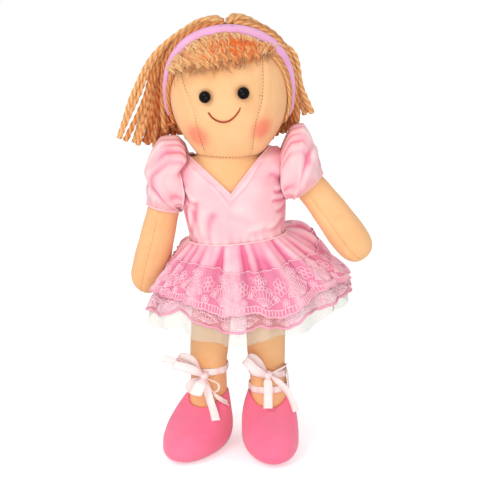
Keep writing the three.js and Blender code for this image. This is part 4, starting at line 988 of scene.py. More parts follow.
tape_width = 11.5
tape_thickness = 0.8
tape_shift = 6.1
tape_rises = np.linspace(4.2, 47.6, 60)
tape, tree, shader = new_material("white_hook_and_loop_tape")
place = node(tree, "TexCoord").outputs["Object"]
hooks = node(tree, "TexVoronoi", {"Vector": place, "Scale": 1 / (0.9 * mm)})
nap = node(tree, "Mix", {"Factor": hooks.outputs["Distance"], 6: linear("#F4F1F2"), 7: linear("#D9D3D6")},
           data_type="RGBA").outputs[2]
tree.links.new(nap, shader.inputs["Base Color"])
relief = node(tree, "Bump", {"Height": hooks.outputs["Distance"], "Distance": 0.3 * mm}, invert=True)
tree.links.new(relief.outputs["Normal"], shader.inputs["Normal"])
shader.inputs["Roughness"].default_value = 0.8
for side, sign in {"left": -1, "right": 1}.items():
    across = sign * (tape_shift + tape_width * np.linspace(-0.5, 0.5, 15))[None]
    rise = tape_rises[:, None] + 0 * across
    width, depth = trunk_halves(rise)
    back = (depth + satin_gap + 0.7) * np.sqrt(1 - (across / (width + satin_gap)) ** 2)
    edge = np.minimum(np.abs(across - sign * tape_shift) / (0.5 * tape_width), 1) ** 8
    strip = np.stack([across + 0 * rise, back - 0.35 * edge, rise], axis=2)
    made = surface("back_tape_" + side, from_waist(strip), flat_grid(60, 15, tape_width, 44), loop=False)
    finish(sewn(made, tape_thickness * sign), "torso", "hook_tape", tape, "back_closure_" + side)

# Sleeves: puffs of the satin, gathered into the armhole, full at the cap and turned up at a hem
# that stands a little off the arm. The gathers are painted deep pink as shade where the light
# doesn't reach.
sleeve_ways = np.array([0, 0.1, 0.24, 0.46, 0.68, 0.86, 1])
sleeve_caps = np.array([0, 0.88, 1, 0.6, 0.22, 0.05, 0])
sleeve_fulls = np.array([0, 0.62, 1, 1, 0.72, 0.3, 0])
cap_reaches = {"left": 59, "right": 57.5}
cap_leans = {"left": 13.0, "right": 0.0}
cap_draws = {"left": 5.5, "right": 0.0}
creases = {"left": 0.60, "right": 0.42}
puff_depth = 26
hem_ease = 2.2
hem_roll_radius = 0.8
armpit_side = 43.9
armpit_rise = 26
root_reach = 36
root_half = 17.5
sleeve_rows = 90
sleeve_columns = 200
for side, arm in arms.items():
    sign = arm["sign"]
    line = arm_line(arm, 400)
    run = distances(line)
    hem_way = arm["sleeve"] / run[-1]
    spot = read_line(line, run, arm["sleeve"])
    tangent = unit(read_line(np.gradient(line, run, axis=0), run, arm["sleeve"]))
    aside = np.array([-tangent[2], 0, tangent[0]]) * sign
    hem_half = arm_width * arm_half(np.array([hem_way]))[0] + hem_ease
    armpit = np.array([sign * armpit_side, 0, armpit_rise])
    hem_in, hem_out = spot - hem_half * aside, spot + hem_half * aside
    hem_reach = np.hypot(*(hem_out - armpit)[[0, 2]])
    hem_angle = np.arctan2(sign * (hem_out - armpit)[0], (hem_out - armpit)[2])
    way = np.linspace(0, 1, sleeve_rows)
    angle = hem_angle * way
    plain = root_reach + (hem_reach - root_reach) * np.sqrt(way)
    outer_reach = plain + (cap_reaches[side] - plain) * table(way, sleeve_ways, sleeve_caps, 0.02)
    swing = np.stack([sign * outer_reach * np.sin(angle), 0 * way, outer_reach * np.cos(angle)], axis=1)
    outer = armpit + swing
    inner = armpit + (hem_in - armpit) * way[:, None]
    centre = (inner + outer) / 2
    centre[:, 1] = spot[1] * way
    along = (outer - inner) / 2
    narrow = root_half + (hem_half - 0.8 - root_half) * way
    deep = narrow + (puff_depth - narrow) * table(way, sleeve_ways, sleeve_fulls, 0.02)
    turn = np.linspace(0, 2 * np.pi, sleeve_columns, endpoint=False)
    cosine, sine = np.cos(turn)[None, :, None], np.sin(turn)[None, :, None]
    form = centre[:, None] + cosine * along[:, None] + sine * (deep[:, None] * back_way)[:, None]
    outward = cosine * unit(along)[:, None] + sine * back_way
    outward = unit(outward - (0.35 * (0.5 - way))[:, None, None] * unit(spot - armpit))
    w, a = way[:, None], turn[None]
    root = bodice_side(form[0, :, 1], form[0, :, 2]) - armpit_side
    form[..., 0] += sign * (root - 0.3)[None] * np.exp(-(w / 0.1) ** 2)
    lean = cap_leans[side] * bump(w - 0.12, 0.3) * step((form[..., 2] - 52) / 14) * step(w / 0.08)
    drawn = cap_draws[side] * bump(w - 0.62, 0.26) * step(0.5 + 0.6 * np.cos(a))
    form[..., 0] -= sign * (lean + drawn)
    wander = a + 0.25 * np.sin(3 * a + 2) + 0.3 * w * np.sin(2 * a + 1)
    height = -1.3 * bump(w, 0.3) * (0.5 + 0.5 * np.cos(13 * wander)) ** 2 * step(w / 0.05)
    hem_gather = -0.9 * bump(1 - w, 0.2) * (0.5 + 0.5 * np.cos(12 * wander + 1))
    height += hem_gather * step((1 - w) / 0.02 + 0.3)
    crease = creases[side]
    height += -1.3 * bump(w - crease - 0.05 * np.cos(2 * a), 0.05) * step(np.cos(a) + 0.7)
    height += 0.9 * bump(w - crease - 0.12, 0.07) * step(np.cos(a) + 0.7)
    belly = np.sin(np.pi * w)
    height += 0.8 * np.sin(3 * wander + 7 * w) * belly + 0.45 * np.sin(7 * wander - 9 * w) * belly
    made = dress_satin("sleeve_satin_" + side, form, outward, height, 0.3, 150.0, 40.0)
    finish(sewn(made, satin_thickness), None, "pink_satin", pale_satin, "sleeve_" + side)
    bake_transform(made)
    rim = from_waist(form[-1] + height[-1][:, None] * outward[-1])
    rim = np.concatenate([rim, rim[:2]])
    roll = tubes("sleeve_hem_" + side, rim[None], hem_roll_radius * mm, unit(rim - from_waist(spot))[None], 8)
    finish(roll, "arm_" + side, "pink_satin", pale_satin)


# Skirt: a short satin overskirt, two frills of embroidered net and a stiff tulle petticoat, all
# gathered into the waist seam. Each layer is in a left and a right half, parted in a fold at the
# front and the back.
skirt_top = np.array([75.36, 58.8]) / 2
skirt_hem = np.array([172, 138]) / 2
satin_drop = 36
petticoat_drop = 73
dent_turn = np.radians(162)
dent_depth = 20
billow_turns = np.radians([32, 150])
billow_out = 5
billow_up = 13
upper_layer = -0.75
lower_layer = 1
tulle_layer = 2
gather_turns = np.radians(np.array([
    -168, -152, -141, -128, -118, -107, -97, -85, -74, -66, -56, -47, -36, -24, -10, 4, 18, 33, 47, 58, 71,
    84, 95, 108, 121, 134, 148, 160, 173]))
rng = np.random.default_rng(7)
gather_depths = rng.uniform(1.2, 3.2, len(gather_turns))
gather_depths[[5, 7, 11]] = 4.6
wave_turns = np.radians(np.array([
    -172, -148, -131, -109, -84, -71, -48, -24, -2, 20, 44, 66, 90, 112, 137, 160]))
wave_depths = np.array([5.0, 3.5, 6.5, 7.0, 4.5, 7.5, 6.0, 5.0, 6.0, 5.0, 6.5, 5.5, 7.0, 5.0, 6.0, 5.0])
crest_turns = np.radians(np.array([-160, -120, -97, -60, -36, -13, 9, 32, 55, 78, 101, 125, 149, 174]))
crest_heights = np.array([2.0, 2.5, 3.0, 2.5, 2.0, 2.0, 1.5, 2.0, 2.0, 2.0, 1.5, 2.0, 2.0, 1.5])


def bells(turn, places, sizes, width):
    """A sum of bells of the turn, each at its place round the skirt and of its own size."""
    total = 0
    for place, size in zip(places, sizes):
        away = (turn - place + np.pi) % (2 * np.pi) - np.pi
        total = total + size * bump(away, width)
    return total


def skirt_place(turn, drop, layer, lift=0.0):
    """A place on a skirt layer in the leaning frame: an oval that flares as a sine of the drop, with
    broad waves that deepen to the hem and the gathers, both as bells of the turn, a dent beside the
    hanging arm, and a billow behind each arm."""
    way = drop / petticoat_drop
    flare = np.sin(np.pi / 2 * np.minimum(1, 1.25 * way))
    pitch = 1.7 + 1.3 * way
    fold = bells(turn, wave_turns, -wave_depths, 0.13) * way ** 0.7
    fold = fold + bells(turn, crest_turns, crest_heights, 0.12) * way
    dent = dent_depth * np.sin(0.9 * np.pi * way) ** 2 * bump(turn - dent_turn, 0.5)
    drawn = np.sin(np.pi * np.clip(drop / 42, 0, 1)) ** 0.8
    gather = 0.45 * bells(turn - 0.11, gather_turns, gather_depths, 0.08)
    gather = gather - bells(turn, gather_turns, gather_depths, 0.06)
    ruffle = 1.5 * way ** 2 * np.sin(23 * turn + 3 * np.sin(4 * turn)) + 2.0 * way ** 2 * np.sin(5 * turn + 1)
    billow = bump(turn - billow_turns[0], 0.42) + 0.5 * bump(turn - billow_turns[1], 0.3)
    billow = billow * np.sin(np.pi * np.clip(drop / 26, 0, 1))
    out = fold - dent - layer * pitch + lift + gather * drawn + ruffle + billow_out * billow
    x = (skirt_top[0] + (skirt_hem[0] - skirt_top[0]) * flare + out) * np.cos(turn) + 2 * flare
    y = (skirt_top[1] + (skirt_hem[1] - skirt_top[1]) * flare + out) * np.sin(turn)
    z = -drop + 0.18 * drop * way * np.cos(turn) ** 2 - 0.3 + billow_up * billow
    return np.stack(np.broadcast_arrays(x, y, z), axis=-1)


def skirt_height(turn, drop):
    """How high the gathers stand at a place, for the painted shade and light in the cloth's colour."""
    waves = bells(turn, crest_turns, crest_heights, 0.12) - bells(turn, wave_turns, wave_depths, 0.13)
    gather = 0.4 * bells(turn - 0.11, gather_turns, gather_depths, 0.08)
    gather = gather - bells(turn, gather_turns, gather_depths, 0.07)
    gather = 0.3 * gather * np.exp(-np.clip(drop - 14, 0, None) / 18)
    return gather + 0.26 * waves * np.clip(drop / 25, 0, 1) + 0.45


skirt_sides = {"left": (90, 270), "right": (-90, 90)}
skirt_rows = 60
skirt_columns = 260


def skirt_half(name, side, drops, layer, material, slot, node_name, thickness):
    """Half a layer between two drops, as a sheet on the torso. Either edge may rise
    and fall round the skirt."""
    first, last = np.radians(skirt_sides[side])
    turn = np.linspace(first, last, skirt_columns)[None]
    way = np.linspace(0, 1, skirt_rows)[:, None]
    highest, lowest = (edge(turn) if callable(edge) else edge + 0 * turn for edge in drops)
    drop = highest + (lowest - highest) * way
    form = skirt_place(turn, drop, layer)
    mean_radius = (skirt_hem[0] + skirt_hem[1]) / 2
    flat = np.stack(np.broadcast_arrays(turn * mean_radius, drop), axis=2)
    # Painted shade in the gathers' valleys and painted light on their crests, stronger on the net.
    depth = 0.4 if layer == 0 else 1.1
    fold = np.clip(0.64 + depth * (skirt_height(turn, drop) - 0.47), 0, 1)
    made = surface(name + "_" + side, from_waist(form), flat, loop=False, marks={"fold": fold})
    finish(sewn(made, thickness), "torso", slot, material, node_name)
    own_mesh(made)


def net(name, thread, cell, edge, cover, pale=None):
    """Net: threads along the edges of rounded cells that many millimetres wide, holes between them,
    and a closer ground where cover is high. Transparency stands for the holes. A pale colour makes
    it cloudy, and paints deep pink shade in its folds."""
    made, tree, shader = new_material(name)
    flat = node(tree, "UVMap", uv_map="cloth").outputs["UV"]
    cells = node(tree, "TexVoronoi", {"Vector": flat, "Scale": 1 / cell, "Randomness": 0.35},
                 feature="DISTANCE_TO_EDGE", voronoi_dimensions="2D").outputs["Distance"]
    holes = node(tree, "MapRange", {"Value": cells, "From Min": edge, "From Max": 2.5 * edge,
                                    "To Min": 0.9, "To Max": cover})
    tree.links.new(holes.outputs["Result"], shader.inputs["Alpha"])
    shader.inputs["Base Color"].default_value = linear(thread)
    if pale:
        cloud = node(tree, "TexNoise", {"Vector": flat, "Scale": 0.16, "Detail": 3.0}).outputs["Fac"]
        cloud = node(tree, "MapRange", {"Value": cloud, "From Min": 0.42, "From Max": 0.6})
        tone = node(tree, "Mix", {"Factor": cloud.outputs["Result"], 6: linear(thread), 7: linear(pale)},
                    data_type="RGBA").outputs[2]
        # Painted shade: deep pink in the fold valleys.
        fold = node(tree, "Attribute", attribute_name="fold").outputs["Fac"]
        tone = node(tree, "Mix", {"Factor": fold, 6: linear("#EE8AAB"), 7: tone}, data_type="RGBA").outputs[2]
        tree.links.new(tone, shader.inputs["Base Color"])
    relief = node(tree, "Bump", {"Height": cells, "Distance": 0.2 * mm, "Strength": 0.5}, invert=True)
    tree.links.new(relief.outputs["Normal"], shader.inputs["Normal"])
    shader.inputs["Roughness"].default_value = 0.7
    return made


def edge_line(places, scallop=0.0, count=24):
    """An edge's drop as a function of the turn: read from a table of degrees and millimetres,
    softened a little, with small scallops."""
    turns, drops = np.radians([place for place, _ in places]), [drop for _, drop in places]

    def drop_at(turn):
        wrapped = (turn + np.pi) % (2 * np.pi) - np.pi
        return table(wrapped, turns, drops, 0.05) + scallop * np.abs(np.sin(count * turn))

    return drop_at


lace_top = edge_line([
    (-180, 12), (-156, 10), (-132, 10.5), (-114, 12), (-96, 16), (-72, 17.5), (-54, 15.2), (-36, 14.3),
    (-12, 17), (20, 16), (60, 18), (100, 15), (140, 17), (180, 12)], 0.5, 30)
upper_hem = edge_line([
    (-180, 38), (-168, 36), (-156, 33), (-144, 32.5), (-132, 34), (-120, 35.6), (-114, 38.3), (-105, 43),
    (-96, 42.1), (-84, 42.1), (-78, 47), (-72, 50), (-66, 47.5), (-60, 43), (-48, 40), (-40, 37.4),
    (-30, 39), (-18, 41), (0, 43), (25, 40), (50, 43), (75, 39), (100, 42), (125, 39), (150, 42),
    (180, 38)], 0.9)
lace_hem = edge_line([
    (-180, 57), (-168, 54), (-156, 50), (-144, 51), (-138, 48), (-130, 42.5), (-124, 43.5), (-114, 51.5),
    (-106, 55.8), (-90, 56.5), (-84, 53.5), (-78, 56), (-70, 60), (-65, 59), (-59, 52), (-48, 53.5),
    (-36, 52.8), (-24, 56), (-18, 54), (0, 57), (20, 53), (42, 58), (62, 54), (85, 57), (105, 52),
    (128, 57), (150, 54), (180, 57)], 1.0, 22)
tulle_hem = edge_line([
    (-180, 68), (-164, 60), (-156, 71), (-144, 66), (-138, 63), (-132, 58), (-126, 65), (-114, 67),
    (-108, 70.5), (-96, 68.5), (-84, 69), (-78, 66.8), (-60, 67.2), (-51, 71), (-42, 65.4), (-36, 62),
    (-24, 70), (-12, 71), (6, 64), (24, 72), (44, 66), (60, 71), (82, 64), (100, 71), (122, 65),
    (140, 72), (160, 64), (180, 68)])

skirt_satin = satin("pink_polyester_satin", "#FAD3DA", "#F5A9BC", "#E26C92")
lace_net = net("pink_embroidered_net", "#F8B2C4", 1.4, 0.06, 0.8, "#FBCAD5")
sheer_net = net("pale_pink_sheer_net", "#F9C4CE", 1.5, 0.035, 0.14, "#FAD3DC")
tulle = net("stiff_ivory_tulle", "#DDD9CA", 1.2, 0.03, 0.15)
for side in skirt_sides:
    skirt_half("skirt_satin", side, (0, satin_drop), 0, skirt_satin, "pink_satin", "skirt_satin", 0.4)
    skirt_half("upper_frill", side, (lace_top, upper_hem), upper_layer, lace_net, "pink_lace", "lace_upper",
               0.25)
    skirt_half("lower_frill", side, (6, lace_hem), lower_layer, sheer_net, "pink_lace", "lace_lower", 0.25)
    skirt_half("petticoat", side, (6, tulle_hem), tulle_layer, tulle, "tulle", "petticoat", 0.2)


# Embroidery: fans, flowers and scrolls worked in pale thread on both frills, a ladder of rungs
# above each hem, and a cord of pink satin stitch along its edge.
hem_radius = 75
route_points = 14


def thread_on_skirt(name, side, routes, layer, radius, lift, material, plies=0):
    """Threads laid on a frill, as tubes on the same surface: routes of turn and drop. On the upper
    frill a drop of 17 is its top edge and one of 41 its hem, and on the lower one 57 is the hem."""
    routes = np.array(routes)
    turn, drop = routes[..., 0], routes[..., 1]
    spread_out = lace_top(turn) + (drop - 17) / 24 * (upper_hem(turn) - lace_top(turn))
    routes[..., 1] = spread_out if layer < 0 else lace_hem(turn) - 0.85 * (57 - drop)
    line = skirt_place(routes[..., 0], routes[..., 1], layer, lift)
    spread = np.stack([np.cos(routes[..., 0]), np.sin(routes[..., 0]), 0.35 + 0 * routes[..., 0]], axis=-1)
    made = tubes(name + "_" + side, from_waist(line), radius * mm, unit(spread), 5, plies, 2.0, 0.15)
    finish(made, "torso", "pink_lace", material)
    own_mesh(made)


def on_frill(middle, base, away, bend):
    """The turn and the drop of a place that lies away from a base point, at a bend from straight up."""
    return middle + away * np.sin(bend) / hem_radius, base - away * np.cos(bend)


def arc(middle, base, spread, radius):
    """An arc round a base point on a frill, as turn and drop: radius by spread either side of up."""
    return np.stack(on_frill(middle, base, radius, np.linspace(-spread, spread, route_points)), axis=1)


def fan(middle, base, size):
    """A fan: spokes from a base point up to a scalloped rim, with two arcs across them."""
    bends = np.radians(np.linspace(-68, 68, 9))
    share = np.linspace(0.12, 1, route_points)[:, None]
    spokes = [np.hstack(on_frill(middle, base, share * size, bend)) for bend in bends]
    rims = [arc(middle, base, np.radians(72), size * part) for part in (0.55, 1.0)]
    petals = [arc(*on_frill(middle, base, size, bend), np.radians(100), 0.17 * size) for bend in bends]
    return spokes + rims + petals


def flower(middle, centre, size):
    """A flower of six round petals about a small ring."""
    bends = np.radians(np.arange(0, 360, 60) + 15)
    petals = [arc(*on_frill(middle, centre, 0.66 * size, bend), np.pi, 0.33 * size) for bend in bends]
    return petals + [arc(middle, centre, np.pi, 0.24 * size)]


def scroll(middle, centre, size, sign):
    """A stem that curls in on itself: a spiral of one and a half turns."""
    bend = np.linspace(0, 3 * np.pi, route_points)
    away = size * (1 - 0.25 * bend / np.pi)
    across = middle + sign * away * np.cos(bend) / hem_radius
    return [np.stack([across, centre - away * np.sin(bend)], axis=1)]


def ladder(first, last, top, bottom, pitch):
    """Rungs between two drops, one each pitch along the hem, as short lines."""
    turns = np.arange(first, last, pitch / hem_radius)
    share = np.linspace(0, 1, route_points)
    return [np.stack([turn + 0 * share, top + (bottom - top) * share], axis=1) for turn in turns]


def hem_line(first, last, drop):
    """A line along the frill at a drop, in short lengths that join."""
    edges = np.linspace(first, last, 41)
    return [np.stack([np.linspace(a, b, route_points), np.full(route_points, float(drop))], axis=1)
            for a, b in zip(edges[:-1], edges[1:])]


lace_thread = thread_cloth("pale_pink_embroidery_thread", "#FBD6DE", "#F8C3D0", 0.55)
pink_cord = thread_cloth("pink_satin_stitch", "#F48FB0", "#F9BCCB", 0.5)
for side, ends in skirt_sides.items():
    first, last = np.radians(ends)
    middles = np.linspace(first, last, 9)[:-1] + (last - first) / 16
    half_pitch = (last - first) / 16
    upper, lower = [], []
    for middle in middles:
        upper += fan(middle, 36.5, 10.5) + flower(middle, 21.8, 3.4)
        upper += flower(middle + half_pitch, 26.5, 4.6) + flower(middle + half_pitch, 35.0, 2.4)
        for sign in (-1, 1):
            upper += scroll(middle + sign * 0.062, 22.5, 2.4, sign)
            upper += scroll(middle + half_pitch + sign * 0.07, 31.5, 1.9, sign)
        lower += fan(middle + 0.2, 54.5, 8.0) + flower(middle + 0.2 + half_pitch, 51.5, 3.2)
    thread_on_skirt("frill_fans", side, upper, upper_layer, 0.26, 0.5, lace_thread)
    thread_on_skirt("hem_fans", side, lower, lower_layer, 0.24, 0.4, lace_thread)
    rungs = ladder(first, last, 37.2, 40.4, 2.3) + hem_line(first, last, 37.2) + hem_line(first, last, 40.9)
    rungs += hem_line(first, last, 17.3)
    thread_on_skirt("frill_ladder", side, rungs, upper_layer, 0.34, 0.45, lace_thread)
    rungs = ladder(first, last, 43.5, 46.5, 2.6) + hem_line(first, last, 43.5) + hem_line(first, last, 46.5)
    thread_on_skirt("hem_ladder", side, rungs, lower_layer, 0.28, 0.4, lace_thread)
    thread_on_skirt("hem_cord", side, hem_line(first, last, 57), lower_layer, 0.95, 0.2, pink_cord, 2)
    thread_on_skirt("frill_cord", side, hem_line(first, last, 41.3), upper_layer, 0.6, 0.3, pink_cord, 2)


# Hair: soft acrylic yarn, three plies about four millimetres thick, sewn along a centre parting
# and let fall at the sides and back. The tips are cut blunt. Dark red-brown painted shade lies on
# the lower strands and the pad between them.
yarn_radius = 2.0
yarn_pitch = 6.5
yarn_sides = 12
ply_depth = 0.15
hair_split = 300 * mm
parting_shift = -3
head_middle = np.array([0, 0, head_widest], float)
hair_middle = head_middle + (0, 5, 0)
back_split = from_neck(head_middle)[2]
share_scale = np.array([head_width / 2, head_depth / 2, head_top])
# Each lock: four places from the crown to the tip, as shares of the head's half width, half depth
# and height.
left_locks = np.array([
    [-0.6, -0.02, 1.04, -1.2, -0.02, 0.82, -1.52, 0.04, 0.53, -1.84, 0.12, 0.2],
    [-0.72, 0.06, 1, -1.26, 0.1, 0.74, -1.46, 0.2, 0.46, -1.72, 0.3, 0.15],
    [-0.84, 0.14, 0.94, -1.3, 0.22, 0.67, -1.38, 0.32, 0.42, -1.56, 0.42, 0.12],
    [-0.94, 0.22, 0.87, -1.29, 0.34, 0.61, -1.29, 0.44, 0.4, -1.4, 0.55, 0.1],
    [-1, 0.3, 0.8, -1.24, 0.44, 0.56, -1.21, 0.54, 0.36, -1.24, 0.66, 0.11],
    [-1, 0.4, 0.74, -1.17, 0.56, 0.51, -1.12, 0.66, 0.32, -1.08, 0.78, 0.16]]).reshape(6, 4, 3)
right_locks = np.array([
    [0.62, 0, 0.97, 1.08, 0, 0.82, 1.24, 0.1, 0.58, 1.42, 0.3, 0.38],
    [0.72, 0.14, 0.97, 1.16, 0.2, 0.72, 1.22, 0.36, 0.51, 1.3, 0.66, 0.32],
    [0.86, 0.24, 0.88, 1.18, 0.34, 0.62, 1.17, 0.52, 0.44, 1.17, 0.8, 0.25],
    [0.94, 0.34, 0.79, 1.16, 0.48, 0.56, 1.1, 0.66, 0.38, 1.04, 0.92, 0.2],
    [0.96, 0.42, 0.72, 1.1, 0.6, 0.5, 1.02, 0.8, 0.33, 0.92, 1, 0.18]]).reshape(5, 4, 3)


def yarn(name, pale, middle, dark):
    """Plied yarn: the tint attribute moves each strand between pale and dark, for its own tone and for
    painted shade on strands that lie underneath, the ply attribute paints shade in its grooves, fine
    fibres slant along it by its UV map, and a faint sheen stands for the fuzz."""
    made, tree, shader = new_material(name)
    flat = node(tree, "UVMap", uv_map="cloth").outputs["UV"]
    stretched = node(tree, "Mapping", {"Vector": flat, "Scale": (5.0, 0.45, 1)}).outputs["Vector"]
    fibres = node(tree, "TexWave", {"Vector": stretched, "Scale": 1.0, "Distortion": 3.0, "Detail": 3.0},
                  bands_direction="DIAGONAL").outputs["Fac"]
    tint = node(tree, "Attribute", attribute_name="tint").outputs["Fac"]
    ply = node(tree, "Attribute", attribute_name="ply").outputs["Fac"]
    shade = node(tree, "Math", {0: fibres, 1: 0.25, 2: tint}, operation="MULTIPLY_ADD").outputs[0]
    # Painted shade: the ply grooves are darker.
    shade = node(tree, "Math", {0: ply, 1: -0.3, 2: shade}, operation="MULTIPLY_ADD").outputs[0]
    ramp = node(tree, "ValToRGB", {"Fac": shade})
    ramp.color_ramp.elements[0].position = 0.0
    ramp.color_ramp.elements[0].color = linear(pale)
    ramp.color_ramp.elements[1].position = 1.0
    ramp.color_ramp.elements[1].color = linear(dark)
    ramp.color_ramp.elements.new(0.42).color = linear(middle)
    tree.links.new(ramp.outputs["Color"], shader.inputs["Base Color"])
    relief = node(tree, "Bump", {"Height": fibres, "Distance": 0.25 * mm, "Strength": 0.6})
    tree.links.new(relief.outputs["Normal"], shader.inputs["Normal"])
    shader.inputs["Roughness"].default_value = 0.9
    shader.inputs["Sheen Weight"].default_value = 0.18
    shader.inputs["Sheen Roughness"].default_value = 0.6
    shader.inputs["Specular IOR Level"].default_value = 0.2
    return made


def crown_rise(x, y, lift):
    """The crown's height over a place, lifted: the superellipse read the other way round."""
    out = np.clip(np.hypot(x / (head_width / 2), y / (head_depth / 2)), 0, 1)
    return head_widest + (head_top - head_widest) * (1 - out ** crown_power) ** (1 / crown_power) + lift


def side_strands(locks, sign, count, lift, jitter, first_row, fly):
    """Strands from the parting over the crown and down one side: the locks' four places, read
    between rows, after two places on the crown."""
    row = first_row + (len(locks) - 1 - first_row) * np.linspace(0, 1, count)
    row = row - 0.14 * (np.arange(count) % 2)
    row = row + rng.normal(0, jitter, count)
    row = np.clip(row, 0, len(locks) - 1.001)
    k, t = row.astype(int), (row % 1)[:, None, None]
    low = (locks[k] * (1 - t) + locks[k + 1] * t) * share_scale
    parting = np.linspace(-12, 24, count) + rng.normal(0, 1, count)
    root = parting_shift + sign * 1.5
    first = np.stack([root + 0 * parting, parting, crown_rise(parting_shift, parting, lift + 1.6)], axis=1)
    hump = (first + low[:, 0]) / 2
    hump[:, 0] = parting_shift + sign * (13 + rng.normal(0, 1, count))
    hump[:, 2] = crown_rise(hump[:, 0], hump[:, 1], lift + 4.5)
    out = unit(low - hair_middle)
    stray = fly * bump(row, 0.5)[:, None, None] * np.array([0, 0.3, 0.8, 1.2])[:, None]
    loose = rng.normal(0, 0.7, low.shape) * np.array([0.3, 0.8, 1.0, 2.4])[:, None]
    low = low + (lift - 6 + stray) * out + loose
    return np.concatenate([first[:, None], hump[:, None], low], axis=1)


def back_strands(count, lift, hem):
    """Strands from the parting's end down the back: out over the crown, then straight down."""
    spread = np.radians(np.linspace(166, 12, count)) + rng.normal(0, 0.035, count)
    edge = np.stack([np.cos(spread) * head_width / 2, np.sin(spread) * head_depth / 2], axis=1)
    start = np.stack([parting_shift + 7 * np.cos(spread), 22 + 6 * np.sin(spread)], axis=1)
    rows = []
    for share in (0, 0.4, 0.75, 0.95):
        spot = start + (edge - start) * share
        away = np.hypot(spot[:, 0], spot[:, 1])[:, None]
        rise = crown_rise(spot[:, 0], spot[:, 1], lift * (1.15 - 0.15 * share))
        rows.append(np.column_stack([spot * (1 + 0.9 * lift * share ** 3 / away), rise]))
    for rise, stand in ((62, 1.0), (44, 1.0), (30, 0.99), (hem, 0.98)):
        out = edge * (1 + lift / 42) * stand
        rows.append(np.column_stack([out, np.maximum(rise, hem + 7 * np.abs(np.cos(spread)) ** 3)]))
    lines = np.stack(rows, axis=1)
    lines[:, -1] += rng.normal(0, 2.2, (count, 3))
    return lines + rng.normal(0, 0.35, lines.shape)


def yarn_mesh(name, lines, radius, tint, material, *replaced, keep=None, tucked=1.0):
    """Plied strands in one mesh, from the steps of each line that are kept, closed at both ends.
    The radius swells by a cosine of three plies that wind once a pitch, and shrinks to a share of
    itself where a strand is tucked into the next piece."""
    count, steps = lines.shape[:2]
    keep = np.ones((count, steps), bool) if keep is None else keep
    side, outward = along_paths(lines, unit(lines - from_neck(hair_middle)))
    run = distances(lines) / mm
    sides = yarn_sides
    angle = np.linspace(0, 2 * np.pi, sides, endpoint=False)
    ply = np.cos(3 * angle[None, None] - 2 * np.pi * run[:, :, None] / yarn_pitch)
    thick = radius * tucked * (1 + 0.05 * np.sin(run / 5 + np.arange(count)[:, None]))
    spokes = np.cos(angle)[:, None] * side[:, :, None] + np.sin(angle)[:, None] * outward[:, :, None]
    rings = lines[:, :, None] + (thick[:, :, None] * (1 + ply_depth * ply))[..., None] * spokes
    n, v, u = [g.ravel() for g in np.meshgrid(np.arange(count), np.arange(steps - 1), np.arange(sides),
                                              indexing="ij")]
    held = keep[n, v] & keep[n, v + 1]
    n, v, u = n[held], v[held], u[held]
    ring, around = (n * steps + v) * sides, (u + 1) % sides
    quads = np.stack([ring + u, ring + around, ring + sides + around, ring + sides + u], axis=1)
    flat = np.stack([np.stack([u, u + 1, u + 1, u], axis=1) / sides,
                     np.stack([run[n, v], run[n, v], run[n, v + 1], run[n, v + 1]], axis=1)], axis=2)
    first, last = keep.argmax(axis=1), steps - 1 - keep[:, ::-1].argmax(axis=1)
    n, u = [g.ravel() for g in np.meshgrid(np.nonzero(keep.any(axis=1))[0], np.arange(sides), indexing="ij")]
    around = (u + 1) % sides
    start, stop = (n * steps + first[n]) * sides, (n * steps + last[n]) * sides
    hub = count * steps * sides + n
    caps = np.concatenate([np.stack([start + around, start + u, hub], axis=1),
                           np.stack([stop + u, stop + around, hub + count], axis=1)])
    cap_flat = np.zeros((len(caps), 3, 2))
    index = np.arange(count)
    points = np.concatenate([rings.reshape(-1, 3), lines[index, first], lines[index, last]])
    marks = {"tint": np.concatenate([np.repeat(tint, steps * sides), tint, tint]),
             "ply": np.concatenate([np.broadcast_to(ply, rings.shape[:3]).ravel(), 0 * tint, 0 * tint])}
    used = np.zeros(len(points), bool)
    used[quads.ravel()] = True
    used[caps.ravel()] = True
    place = np.cumsum(used) - 1
    marks = {mark: values[used] for mark, values in marks.items()}
    corners = np.concatenate([flat.reshape(-1, 2), cap_flat.reshape(-1, 2)])
    faces = place[quads].tolist() + place[caps].tolist()
    made = add_mesh(name, points[used], faces, corners, marks)
    made.data.flip_normals()
    return finish(made, "head", "hair_yarn", material, *replaced)


def hanging_yarn(name, lines, split, tint, node_name):
    """Yarn below a height, drawn in by a tenth at its top, where it goes on inside the crown's."""
    below = lines[..., 2] < split + 2.5 * mm
    tucked = 1 - 0.1 * step((lines[..., 2] - split) / mm + 1)
    return yarn_mesh(name, lines, yarn_radius * mm, tint, golden_yarn, node_name, keep=below, tucked=tucked)


golden_yarn = yarn("golden_acrylic_yarn", "#F0C086", "#DE9653", "#B2501A")
strand_steps = 110
# Each row of side strands: its lift, its jitter, the lock it starts at, and its tint from and to;
# the lower rows are tinted darker, as painted shade under the outer ones.
side_rows = [(3.4, 0.04, 0, 0.0, 0.4), (1.2, 0.1, 1.5, 0.2, 0.6), (-0.8, 0.1, 2.0, 0.5, 0.9)]
back_counts = (19, 17)
sides_of_head = {"left": (left_locks, -1, (12, 8, 7), 4.5), "right": (right_locks, 1, (10, 7, 7), 1.5)}
crown_lines, crown_tints = [], []
for side, (locks, sign, counts, fly) in sides_of_head.items():
    rows = list(zip(counts, side_rows))
    lines = np.concatenate([side_strands(locks, sign, count, *row[:3], fly) for count, row in rows])
    tint = np.concatenate([rng.uniform(*row[3:], count) for count, row in rows])
    lines = from_neck(smooth_curve(lines, strand_steps))
    crown_lines.append(lines)
    crown_tints.append(tint)
    made = hanging_yarn("hair_side_" + side, lines, hair_split, tint, "hair_" + side)
    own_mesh(made)
lines = np.concatenate([back_strands(back_counts[0], 6.5, 17), back_strands(back_counts[1], 4.0, 18)])
